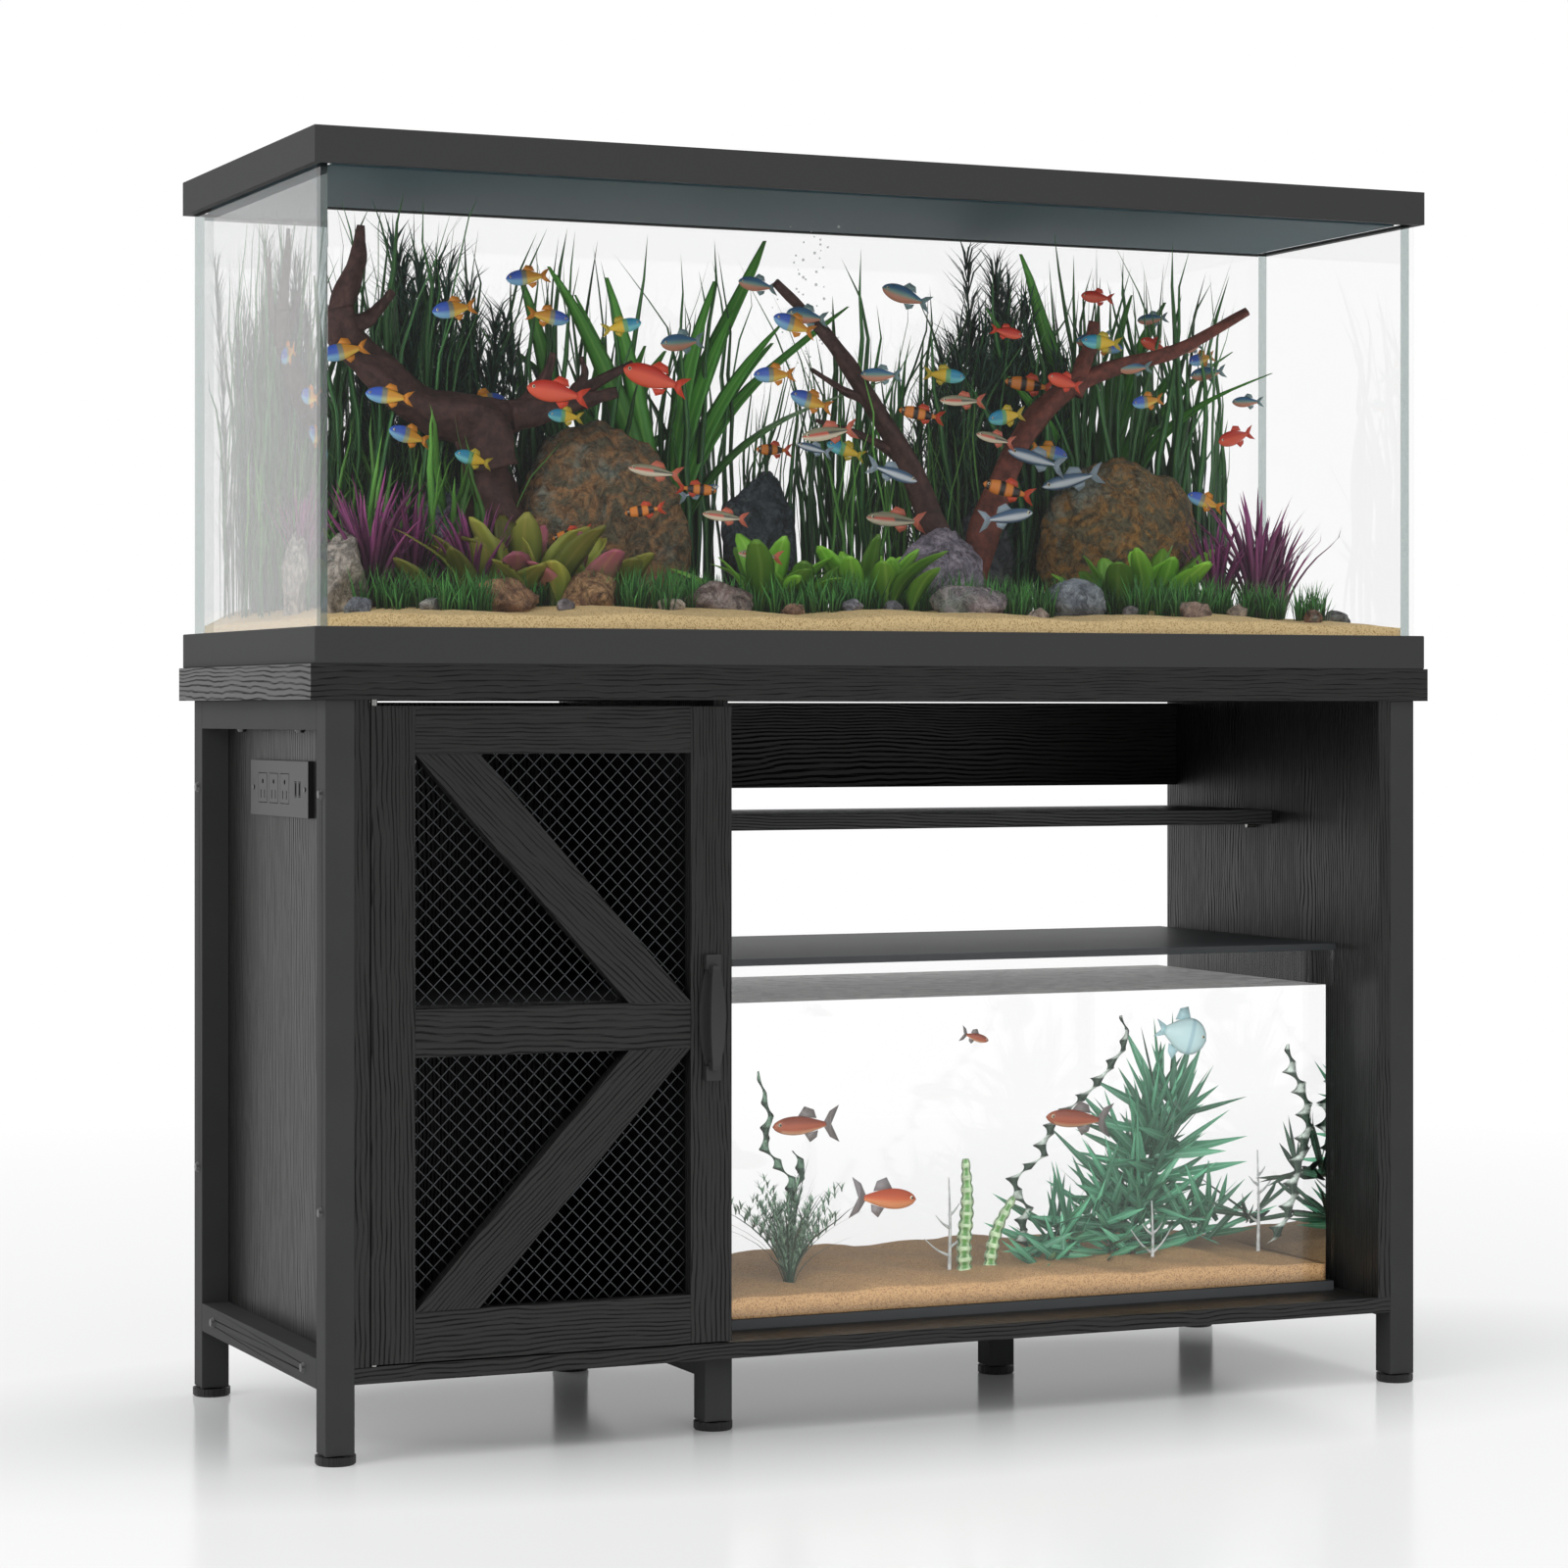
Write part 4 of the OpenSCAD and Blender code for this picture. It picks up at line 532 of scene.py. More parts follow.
def finish_stand():
    """Gives every CAD piece of the stand, the cover and the tanks its finish."""
    low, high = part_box("door_braces")
    middle = (low[2] + high[2]) / 2
    slope = math.atan2((high[2] - low[2]) / 2, high[0] - low[0])
    turn_down = (0, math.pi / 2 - slope, 0)
    turn_up = (0, slope - math.pi / 2, 0)
    upright = laminate("embossed black melamine, upright grain", [UPRIGHT])
    sideways = laminate("embossed black melamine, level grain", [SIDEWAYS])
    braces = laminate("embossed black melamine, braces", [turn_down, turn_up], split=middle)
    shelves = laminate("embossed grey melamine, shelves", [SIDEWAYS], look=SHELF_ASH)
    steel = coated_steel()
    black = moulded("moulded black polypropylene", "#161616", 0.45)
    rim = moulded("moulded satin black ABS", "#414141", 0.65, Specular_IOR_Level=0.15)
    bolts = bare_metal("blackened steel", "#5c5c5c", 0.32)
    plated = bare_metal("zinc plated steel", "#b9b9b6", 0.3)
    wire = bare_metal("galvanised wire mesh", "#5a5c5e", 0.45)
    glass = pane_glass("clear float glass", "#ffffff")
    finishes = {
        tabletop_laminate(): ["tabletop"],
        upright: ["left_side_panel", "right_side_panel", "divider", "door_left_stile", "door_right_stile",
                  "left_back_panel"],
        sideways: ["door_rails", "bottom_board", "back_strip"],
        braces: ["door_braces"],
        shelves: ["left_shelf", "right_shelf"],
        steel: ["left_legs", "right_legs", "left_rails", "right_rails", "middle_legs", "middle_rail",
                "support_leg"],
        knurled(): ["foot_front_left", "foot_rear_left", "foot_front_right", "foot_rear_right",
                    "foot_middle_front", "foot_middle_rear", "foot_support"],
        black: ["leg_plugs", "magnet_catch", "power_box"],
        moulded("moulded satin polycarbonate", "#1f1f1f", 0.38): ["outlet_plate"],
        moulded("moulded nylon", "#0c0c0c", 0.35): ["outlet_sockets"],
        moulded("powder coated zinc casting", "#333333", 0.45, grit=1.4): ["door_handle"],
        bolts: ["frame_bolts", "outlet_screws"],
        plated: ["shelf_pins", "pivot_plates", "door_pivot_leaves", "strike_plate", "cover_pins"],
        wire: ["door_mesh"],
        rim: ["base_rim", "top_rim", "cover_plate"],
        moulded("moulded blue-grey ABS", "#435c64", 0.6, Specular_IOR_Level=0.15): ["cover_tray"],
        glass: ["bottom_pane", "long_panes", "lower_long_panes"],
        pane_glass("clear float glass, end panes", "#ffffff", right_end=RIGHT_END):
            ["end_panes", "lower_end_panes"],
        moulded("ground glass edge", "#55585a", 0.4): ["lower_bottom_pane"],
        smoked_lid(): ["lower_lid"],
        pane_glass("clear silicone", "#d9dfde", 0.03): ["silicone_seams"],
    }
    for material, names in finishes.items():
        for name in names:
            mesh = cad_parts[name].data
            mesh.materials.clear()
            mesh.materials.append(material)
    for name in ["tabletop", "left_side_panel", "right_side_panel", "divider", "door_left_stile",
                 "door_right_stile", "door_rails", "door_braces", "bottom_board", "left_shelf",
                 "right_shelf", "back_strip", "left_legs", "right_legs", "left_rails", "right_rails",
                 "middle_legs", "middle_rail", "support_leg", "outlet_plate"]:
        soften(name)
    for name in ["base_rim", "top_rim"]:
        soften(name, 1.2)


# Water and sand -------------------------------------------------------------------------------------------

TOP_FACE, RIGHT_FACE = 1, 5     # of box_piece, whose faces are bottom, top, front, rear, left and right


def box_piece(name, low, high):
    """A closed box from its low corner to its high one."""
    corners = [(x, y, z) for z in (low[2], high[2]) for y in (low[1], high[1]) for x in (low[0], high[0])]
    faces = [(0, 2, 3, 1), (4, 5, 7, 6), (0, 1, 5, 4), (2, 6, 7, 3), (0, 4, 6, 2), (1, 3, 7, 5)]
    return new_piece(name, corners, faces, smooth=False)


def fill_tanks():
    """Water up to the tray in the upper tank, and to two fingers under the rim in the lower one."""
    gap = 0.2 * MM      # between the water and the panes, so that no two faces coincide
    upper = box_piece("water", (-IN_W - gap, MID_Y - IN_D - gap, PANE_Z + gap),
                      (IN_W + gap, MID_Y + IN_D + gap, tray_low.z + 1 * MM))
    fit(upper, still_water("clear water", "#ffffff"))
    # the right end would mirror the whole tank: there the water is clear and bends nothing
    upper.data.materials.append(pane_glass("clear water at the end pane", "#ffffff", 0.0))
    upper.data.polygons[RIGHT_FACE].material_index = 1
    lower = box_piece("lower_water", (LOW_X - LOW_W - gap, LOW_Y - LOW_D - gap, LOW_Z + gap),
                      (LOW_X + LOW_W + gap, LOW_Y + LOW_D + gap, LOW_WATER_Z))
    fit(lower, still_water("clear water, lower tank", "#ffffff"))
    lower.data.materials.append(shaded_surface())
    lower.data.polygons[TOP_FACE].material_index = 1


def sand_finish(name, colour, dark):
    """Washed silica sand: pale grains with darker specks, drawn a little coarser than they are to show."""
    grain_size = 1.0 * MM
    material, tree, shader, place = new_finish(name, colour, 0.9)
    grains = add(tree, "ShaderNodeTexVoronoi", {"Vector": place, "Scale": 1 / grain_size})
    cells = add(tree, "ShaderNodeSeparateColor", {0: grains.outputs["Color"]})
    specks = add(tree, "ShaderNodeMapRange", {"Value": cells, "From Min": 0.55, "From Max": 1.0})
    tone = add(tree, "ShaderNodeMix", {0: specks, 6: srgb(colour), 7: srgb(dark)}, data_type="RGBA")
    supply(tree, shader, {"Base Color": tone.outputs[2]})
    bump = add(tree, "ShaderNodeBump", {"Height": grains.outputs["Distance"], "Strength": 0.25,
                                        "Distance": 0.4 * MM})
    supply(tree, shader, {"Normal": bump})
    return material


def sand_piece(name, low, high, height_at, nx, ny):
    """A closed bed of sand between the panes, with a top of nx by ny cells."""
    verts = []
    for j in range(ny + 1):
        for i in range(nx + 1):
            u, v = 2 * i / nx - 1, 2 * j / ny - 1
            x = low.x + (high.x - low.x) * i / nx
            y = low.y + (high.y - low.y) * j / ny
            wave = noise.noise(Vector((x * 60, y * 60, 0)))
            ripple = 0.8 * wave * (1 - abs(u) ** 20) * (1 - abs(v) ** 20)
            verts.append((x, y, low.z + (height_at(u, v) + ripple) * MM))
    faces = [(j * (nx + 1) + i, j * (nx + 1) + i + 1, (j + 1) * (nx + 1) + i + 1, (j + 1) * (nx + 1) + i)
             for j in range(ny) for i in range(nx)]
    rim = (list(range(nx)) + [j * (nx + 1) + nx for j in range(ny)]
           + [ny * (nx + 1) + i for i in range(nx, 0, -1)] + [j * (nx + 1) for j in range(ny, 0, -1)])
    start = len(verts)
    verts += [(verts[i][0], verts[i][1], low.z) for i in rim]
    count = len(rim)
    faces += [(rim[i], start + i, start + (i + 1) % count, rim[(i + 1) % count]) for i in range(count)]
    faces.append(tuple(start + i for i in reversed(range(count))))
    piece = new_piece(name, verts, faces)
    piece.data.polygons.foreach_set("use_smooth", [len(p.vertices) == 4 for p in piece.data.polygons])
    return piece


def low_sand_top(u, v):
    """The lower tank's bed has the same waves, a little flatter and lower."""
    return 0.9 * sand_top(u, v) - 8.2


def lay_sand():
    bed = sand_piece("sand", sand_low, sand_high, sand_top, 220, 80)
    fit(bed, sand_finish("pale silica sand", "#ecd09a", "#b08a54"), stands_for=["sand_bed"])
    low_bed = sand_piece("lower_tank_sand", low_sand_low, low_sand_high, low_sand_top, 150, 80)
    fit(low_bed, sand_finish("brown silica sand", "#c9a273", "#8d6640"),
        stands_for=["lower_sand"])


# Stones ---------------------------------------------------------------------------------------------------

def stone_finish():
    """Weathered field stone: two minerals in streaks, pale lichen in a few patches, and painted shade in the
    cracks with painted light on the ridges between them.
    """
    material, tree, shader, place = new_finish("weathered field stone", "#6b5a48", 0.85)
    base = add(tree, "ShaderNodeAttribute", attribute_name="mineral").outputs["Color"]
    vein = add(tree, "ShaderNodeAttribute", attribute_name="vein").outputs["Color"]
    patches = add(tree, "ShaderNodeTexNoise", {"Vector": place, "Scale": 26, "Detail": 9, "Roughness": 0.72,
                                               "Distortion": 2.2})
    share = add(tree, "ShaderNodeMapRange", {"Value": patches, "From Min": 0.44, "From Max": 0.58})
    tone = add(tree, "ShaderNodeMix", {0: share, 6: base, 7: vein}, data_type="RGBA")
    growth = add(tree, "ShaderNodeTexNoise", {"Vector": place, "Scale": 9, "Detail": 7, "Roughness": 0.7})
    grown = add(tree, "ShaderNodeMapRange", {"Value": growth, "From Min": 0.56, "From Max": 0.64,
                                             "To Max": 0.7})
    lichen = add(tree, "ShaderNodeMix", {0: grown, 6: tone.outputs[2], 7: srgb("#87958c")},
                 data_type="RGBA")
    # painted shade and light: the relief noise that bumps the stone also darkens its cracks and lightens its
    # ridges
    cracks = add(tree, "ShaderNodeTexNoise", {"Vector": place, "Scale": 70, "Detail": 7, "Roughness": 0.8,
                                              "Distortion": 1.4})
    painted_relief_shading = add(tree, "ShaderNodeMapRange", {"Value": cracks, "From Min": 0.38,
                                              "From Max": 0.58, "To Min": 0.28, "To Max": 1.3})
    dark = add(tree, "ShaderNodeVectorMath", {0: lichen.outputs[2], "Scale": painted_relief_shading}, operation="SCALE")
    supply(tree, shader, {"Base Color": dark})
    bump = add(tree, "ShaderNodeBump", {"Height": cracks, "Strength": 0.9, "Distance": 4 * MM})
    supply(tree, shader, {"Normal": bump})
    return material


def boulder(radii, seed, level):
    """An angular worn stone about the origin: a ball cut by sixteen planes and roughened by noise."""
    rng = random.Random(seed)
    cuts = []
    for _ in range(16):
        way = Vector((rng.gauss(0, 1), rng.gauss(0, 1), rng.gauss(0, 1))).normalized()
        cuts.append((way, rng.uniform(0.68, 0.94)))
    ball = bmesh.new()
    bmesh.ops.create_icosphere(ball, subdivisions=level, radius=1)
    corners, faces = unpack(ball)
    shift = Vector((seed * 3.1, seed * 1.7, seed * 2.3))
    facing = 0.3        # a plane cuts only what lies on its own side of the ball
    verts = []
    for corner in corners:
        way = corner.normalized()
        reach = min([1.0] + [depth / way.dot(cut) for cut, depth in cuts if way.dot(cut) > facing])
        rough = noise.fractal(way * 5 + shift, 0.7, 2.1, 4)
        reach *= 1 + 0.13 * noise.noise(way * 1.6 + shift) + 0.05 * rough
        reach -= 0.035 * abs(noise.noise(way * 9 + shift))
        verts.append(Vector((way.x * radii[0], way.y * radii[1], way.z * radii[2])) * reach * MM)
    return verts, faces


# place (shares of the half width and half depth), height of the centre, radii, mineral and vein colours
LARGE_STONES = [
    ((-0.42, 0.14), 115, (96, 62, 122), "#6b6450", "#a47a52"),
    ((0.585, 0.18), 100, (100, 60, 112), "#6a634a", "#a6783f"),
    ((-0.09, 0.46), 105, (44, 34, 90), "#363d44", "#59636c"),
    ((0.165, -0.28), 72, (54, 44, 66), "#7a7280", "#a59ba8"),
    ((-0.68, 0.2), 100, (46, 34, 84), "#5a6270", "#8a929c"),
    ((-0.925, -0.3), 62, (36, 34, 56), "#8d857c", "#b9b0a6"),
    ((0.33, 0.4), 88, (46, 32, 80), "#3d4248", "#5f6468"),
]
# the same for the stones along the front: place, half width, half height, colours
FRONT_STONES = [
    ((-0.93, -0.78), 16, 11, "#6b6f78", "#9aa0a8"), ((-0.66, -0.55), 40, 24, "#7d5c48", "#b08a68"),
    ((-0.51, -0.56), 33, 25, "#6a4c38", "#b9946a"), ((-0.27, -0.5), 38, 22, "#7d6a66", "#a89a94"),
    ((-0.05, -0.74), 13, 9, "#70707a", "#a0a0a8"), ((0.18, -0.66), 48, 21, "#80767c", "#b0a4a8"),
    ((0.41, -0.5), 38, 27, "#6a707a", "#98a0a8"), ((0.61, -0.75), 22, 12, "#8c7468", "#b8a090"),
    ((0.855, -0.76), 12, 10, "#6b4c3c", "#a07858"), ((0.945, -0.5), 17, 12, "#6c6a6c", "#9c9a9c"),
    ((-0.8, -0.66), 12, 9, "#7c7a78", "#a8a6a2"), ((-0.38, -0.72), 15, 10, "#a09488", "#c8bcae"),
    ((-0.15, -0.66), 14, 9, "#8a6a58", "#b89880"), ((0.04, -0.62), 12, 9, "#64646c", "#8e8e96"),
    ((0.31, -0.7), 13, 9, "#9a8a80", "#c0b0a4"), ((0.5, -0.66), 12, 9, "#5e5a5c", "#8e8a8c"),
    ((0.72, -0.62), 14, 10, "#7a6a60", "#a89888"), ((-0.57, -0.74), 11, 8, "#6a6468", "#9a9498"),
]


def set_stones():
    finish = stone_finish()
    big = Gather()
    for i, ((u, v), z, radii, mineral, vein) in enumerate(LARGE_STONES):
        verts, faces = boulder(radii, i + 1, 5)
        centre = spot(u, v, z)
        big.take([centre + p for p in verts], faces, mineral=srgb(mineral), vein=srgb(vein))
    fit(big.piece("large_stones"), finish, stands_for=["rocks"])
    small = Gather()
    for i, ((u, v), wide, tall, mineral, vein) in enumerate(FRONT_STONES):
        verts, faces = boulder((wide, wide * 0.7, tall), i + 11, 4)
        centre = spot(u, v, sand_top(u, v) + tall * 0.4)
        small.take([centre + p for p in verts], faces, mineral=srgb(mineral), vein=srgb(vein))
    fit(small.piece("front_stones"), finish)


# Driftwood ------------------------------------------------------------------------------------------------

def wood_finish():
    """Soaked spider wood: dark red-brown, ridged along its length, nearly matt."""
    material, tree, shader, place = new_finish("soaked driftwood", "#4a302a", 0.7)
    tint = add(tree, "ShaderNodeAttribute", attribute_name="tint").outputs["Color"]
    fibres = add(tree, "ShaderNodeTexNoise", {"Vector": place, "Scale": 110, "Detail": 6,
                                              "Roughness": 0.65})
    shade = add(tree, "ShaderNodeMapRange", {"Value": fibres, "From Min": 0.35, "From Max": 0.65,
                                             "To Min": 0.45, "To Max": 1.3})
    tone = add(tree, "ShaderNodeVectorMath", {0: tint, "Scale": shade}, operation="SCALE")
    supply(tree, shader, {"Base Color": tone})
    bump = add(tree, "ShaderNodeBump", {"Height": fibres, "Strength": 0.8, "Distance": 2 * MM})
    supply(tree, shader, {"Normal": bump})
    return material


def branch(gather, colour, y, thick, thin, path):
    """A gnarled tapering branch. Its path is in shares of the half width and of the water's depth, y is a
    share of the half depth, thick and thin are radii in millimetres."""
    sides = 16
    points = [Vector((x * IN_W, MID_Y + y * IN_D, PANE_Z + z * WATER_H)) for x, z in path]
    curve = smooth_path(points, 10)

    def radius_at(k, angle, point):
        knots = 1 + 0.25 * noise.noise(point * 28)
        ridges = 1 + 0.16 * math.sin(3 * angle + 9 * k) + 0.08 * math.sin(5 * angle - 14 * k)
        return (thick + (thin - thick) * k ** 0.8) * MM * knots * ridges

    verts = sweep(curve, radius_at, sides)
    gather.take(verts, ring_faces(len(curve), sides), tint=srgb(colour))


DARK_WOOD, RED_WOOD = "#4a302b", "#70392c"
# colour, place in depth, radii at the foot and at the tip, and the points of each branch
BRANCHES = [
    # an antler-shaped piece at the left
    (DARK_WOOD, 0.05, 34, 24, [(-0.56, 0.08), (-0.62, 0.3), (-0.645, 0.42), (-0.66, 0.54)]),
    (DARK_WOOD, 0, 26, 15, [(-0.63, 0.4), (-0.65, 0.5), (-0.74, 0.525), (-0.82, 0.59), (-0.885, 0.67),
                            (-0.9, 0.74)]),
    (DARK_WOOD, 0, 16, 4, [(-0.89, 0.66), (-0.895, 0.73), (-0.875, 0.81), (-0.865, 0.87), (-0.86, 0.92)]),
    (DARK_WOOD, 0, 11, 4, [(-0.89, 0.7), (-0.85, 0.715), (-0.825, 0.75), (-0.805, 0.78)]),
    (DARK_WOOD, 0.05, 13, 4, [(-0.88, 0.66), (-0.92, 0.72), (-0.945, 0.79), (-0.955, 0.86)]),
    (DARK_WOOD, 0, 20, 3, [(-0.7, 0.5), (-0.64, 0.52), (-0.58, 0.525), (-0.545, 0.58), (-0.53, 0.62),
                           (-0.52, 0.66)]),
    (DARK_WOOD, 0.05, 19, 3, [(-0.62, 0.51), (-0.56, 0.53), (-0.5, 0.55), (-0.45, 0.59), (-0.37, 0.645)]),
    (DARK_WOOD, 0.04, 7, 2, [(-0.48, 0.57), (-0.46, 0.61), (-0.465, 0.655)]),
    (DARK_WOOD, -0.05, 15, 5, [(-0.6, 0.52), (-0.52, 0.535), (-0.46, 0.56), (-0.41, 0.575)]),
    # a forked one at the right
    (DARK_WOOD, 0, 16, 4, [(0.25, 0.1), (0.16, 0.4), (0.07, 0.58), (-0.02, 0.73), (-0.11, 0.84)]),
    (RED_WOOD, 0, 19, 5, [(0.25, 0.1), (0.31, 0.34), (0.4, 0.55), (0.52, 0.66), (0.68, 0.72),
                          (0.83, 0.82)]),
    (RED_WOOD, 0, 12, 5, [(0.47, 0.61), (0.5, 0.7), (0.515, 0.78)]),
    (DARK_WOOD, 0.02, 8, 2, [(0.16, 0.4), (0.12, 0.46), (0.05, 0.5), (-0.03, 0.53)]),
    (DARK_WOOD, 0.01, 6, 2, [(0.07, 0.58), (0.02, 0.6), (-0.04, 0.645)]),
]


def set_driftwood():
    wood = Gather()
    for row in BRANCHES:
        branch(wood, *row)
    fit(wood.piece("driftwood_pieces"), wood_finish(), stands_for=["driftwood"])


# Scattering by Geometry Nodes -----------------------------------------------------------------------------

def scatter_tree():
    """Copies an item to every point with the point's turn and size, then bends each copy by its push."""
    tree = bpy.data.node_groups.new("scatter", "GeometryNodeTree")
    for name, kind in [("Points", "Geometry"), ("Item", "Object"), ("Finish", "Material"),
                       ("Waviness", "Float"), ("Wave scale", "Float"), ("Low corner", "Vector"),
                       ("High corner", "Vector")]:
        tree.interface.new_socket(name, in_out="INPUT", socket_type="NodeSocket" + kind)
    tree.interface.new_socket("Pieces", in_out="OUTPUT", socket_type="NodeSocketGeometry")
    given = add(tree, "NodeGroupInput")
    item = add(tree, "GeometryNodeObjectInfo", {"Object": given.outputs["Item"], "As Instance": True})
    turn, size, push = (add(tree, "GeometryNodeInputNamedAttribute", {"Name": name},
                            data_type="FLOAT_VECTOR") for name in ("turn", "size", "push"))
    along = add(tree, "GeometryNodeInputNamedAttribute", {"Name": "along"}, data_type="FLOAT")
    copies = add(tree, "GeometryNodeInstanceOnPoints", {
        "Points": given.outputs["Points"], "Instance": item.outputs["Geometry"],
        "Rotation": turn.outputs["Attribute"], "Scale": size.outputs["Attribute"]})
    solid = add(tree, "GeometryNodeRealizeInstances", {"Geometry": copies})
    square = add(tree, "ShaderNodeMath", {0: along.outputs["Attribute"], 1: 2.0}, operation="POWER")
    lean = add(tree, "ShaderNodeVectorMath", {0: push.outputs["Attribute"], "Scale": square},
               operation="SCALE")
    where = add(tree, "GeometryNodeInputPosition")
    wobble = add(tree, "ShaderNodeTexNoise", {"Vector": where,
                                              "Scale": given.outputs["Wave scale"], "Detail": 1})
    centred = add(tree, "ShaderNodeVectorMath", {0: wobble.outputs["Color"], 1: (0.5, 0.5, 0.5)},
                  operation="SUBTRACT")
    amount = add(tree, "ShaderNodeMath", {0: along.outputs["Attribute"], 1: given.outputs["Waviness"]},
                 operation="MULTIPLY")
    wave = add(tree, "ShaderNodeVectorMath", {0: centred, "Scale": amount}, operation="SCALE")
    offset = add(tree, "ShaderNodeVectorMath", {0: lean, 1: wave}, operation="ADD")
    moved = add(tree, "GeometryNodeSetPosition", {"Geometry": solid, "Offset": offset})
    bent = add(tree, "GeometryNodeInputPosition")
    under = add(tree, "ShaderNodeVectorMath", {0: bent, 1: given.outputs["High corner"]},
                operation="MINIMUM")
    inside = add(tree, "ShaderNodeVectorMath", {0: under, 1: given.outputs["Low corner"]},
                 operation="MAXIMUM")
    kept = add(tree, "GeometryNodeSetPosition", {"Geometry": moved, "Position": inside})
    painted = add(tree, "GeometryNodeSetMaterial", {"Geometry": kept,
                                                    "Material": given.outputs["Finish"]})
    add(tree, "NodeGroupOutput", {"Pieces": painted})
    return tree


SCATTER = scatter_tree()
# low and high corners of what is inside the two tanks
UPPER = ((-IN_W, MID_Y - IN_D, PANE_Z), (IN_W, MID_Y + IN_D, tray_low.z))
LOWER = ((LOW_X - LOW_W, LOW_Y - LOW_D, LOW_Z), (LOW_X + LOW_W, LOW_Y + LOW_D, LOW_WATER_Z))


def scatter(name, item, places, finish, waviness=0.0, wave_scale=12.0, tank=UPPER):
    """One piece with a copy of item at each place, which is (point, turn, size, push, shade). It is kept
    within the panes and under the tray or the water's surface."""
    mesh = bpy.data.meshes.new(name + " points")
    mesh.from_pydata([tuple(place[0]) for place in places], [], [])
    for key, column in (("turn", 1), ("size", 2), ("push", 3)):
        layer = mesh.attributes.new(key, "FLOAT_VECTOR", "POINT")
        layer.data.foreach_set("vector", [c for place in places for c in place[column]])
    shade = mesh.attributes.new("shade", "FLOAT", "POINT")
    shade.data.foreach_set("value", [place[4] for place in places])
    holder = link_object(name + " points", mesh)
    modifier = holder.modifiers.new("scatter", "NODES")
    modifier.node_group = SCATTER
    values = {"Item": item, "Finish": finish, "Waviness": waviness, "Wave scale": wave_scale,
              "Low corner": [c + MM for c in tank[0]], "High corner": [c - MM for c in tank[1]]}
    for socket in SCATTER.interface.items_tree:
        if socket.in_out == "INPUT" and socket.name in values:
            modifier[socket.identifier] = values[socket.name]
    graph = bpy.context.evaluated_depsgraph_get()
    made = bpy.data.meshes.new_from_object(holder.evaluated_get(graph), preserve_all_data_layers=True,
                                           depsgraph=graph)
    holder.modifiers.remove(modifier)
    bpy.data.objects.remove(holder)
    made.name = name
    return link_object(name, made)


def hidden_item(obj):
    """Takes an item out of the scene's collection: only its copies are shown."""
    scene.collection.objects.unlink(obj)
    return obj


# Leaves ---------------------------------------------------------------------------------------------------

def leaf_item(name, rows, half_width_at, section, smooth=True):
    """A closed leaf one unit tall. Its half width follows half_width_at, and its cross-section is given."""
    verts, along, across = [], [], []
    for r in range(rows + 1):
        k = r / rows
        wide = max(half_width_at(k), 0.002)
        for x, y in section:
            verts.append((x * wide, y * wide, k))
            along.append(k)
            across.append(abs(x))
    return hidden_item(new_piece(name, verts, ring_faces(rows + 1, len(section)), smooth, along=along,
                                 across=across))


THIN_SECTION = [(-1, 0), (0, -0.22), (1, 0), (0, 0.12)]
NEEDLE_SECTION = [(-1, 0), (0, -0.35), (1, 0)]
BROAD_SECTION = [(-1, 0.12), (-0.5, -0.06), (0, -0.14), (0.5, -0.06), (1, 0.12), (0.5, 0.0), (0, -0.06),
                 (-0.5, 0.0)]


def leaf_finish(name, root, tip, roughness=0.45, vein="#6f9a4a"):
    """A living leaf: waxy, darker at its root, with a paler midrib and a tone of its own for each leaf."""
    material, tree, shader, place = new_finish(name, tip, roughness)
    along = add(tree, "ShaderNodeAttribute", attribute_name="along").outputs["Fac"]
    across = add(tree, "ShaderNodeAttribute", attribute_name="across").outputs["Fac"]
    shade = add(tree, "ShaderNodeAttribute", attribute_name="shade").outputs["Fac"]
    body = add(tree, "ShaderNodeMix", {0: along, 6: srgb(root), 7: srgb(tip)}, data_type="RGBA")
    rib = add(tree, "ShaderNodeMapRange", {"Value": across, "From Min": 0.0, "From Max": 0.22,
                                           "To Min": 0.55, "To Max": 0.0})
    veined = add(tree, "ShaderNodeMix", {0: rib, 6: body.outputs[2], 7: srgb(vein)}, data_type="RGBA")
    level = add(tree, "ShaderNodeMapRange", {"Value": shade, "To Min": 0.45, "To Max": 1.45})
    tone = add(tree, "ShaderNodeVectorMath", {0: veined.outputs[2], "Scale": level}, operation="SCALE")
    supply(tree, shader, {"Base Color": tone})
    cells = add(tree, "ShaderNodeTexNoise", {"Vector": place, "Scale": 350, "Detail": 2})
    bump = add(tree, "ShaderNodeBump", {"Height": cells, "Strength": 0.3, "Distance": 0.4 * MM})
    supply(tree, shader, {"Normal": bump})
    return material


def grass_width(k):
    """A slender blade that narrows to a point in its upper half."""
    if k < 0.5:
        return 0.55 + 0.45 * math.sin(math.pi * min(k * 1.2, 1))
    return max(1 - ((k - 0.5) / 0.5) ** 2, 0)


def stiff_width(k):
    """A blade narrow at its root that runs out straight to its point."""
    if k < 0.55:
        return 0.4 + 0.6 * math.sin(math.pi * min(k * 0.9 + 0.08, 1)) ** 0.8
    return max(1.02 * (1 - k) / 0.45, 0) ** 0.9


def sword_width(k):
    """A long stalk, then a lance-shaped blade."""
    stalk = 0.22
    if k < stalk:
        return 0.16
    return 0.16 + 0.84 * math.sin(math.pi * ((k - stalk) / 0.78) ** 0.8) ** 0.75


def spoon_width(k):
    """A short stalk, then a broad rounded blade."""
    stalk = 0.15
    if k < stalk:
        return 0.2
    return 0.2 + 0.8 * math.sin(math.pi * ((k - stalk) / 0.85) ** 1.15) ** 0.55


GOLDEN_TURN = 2.4       # radians from leaf to leaf round a root, near the golden angle


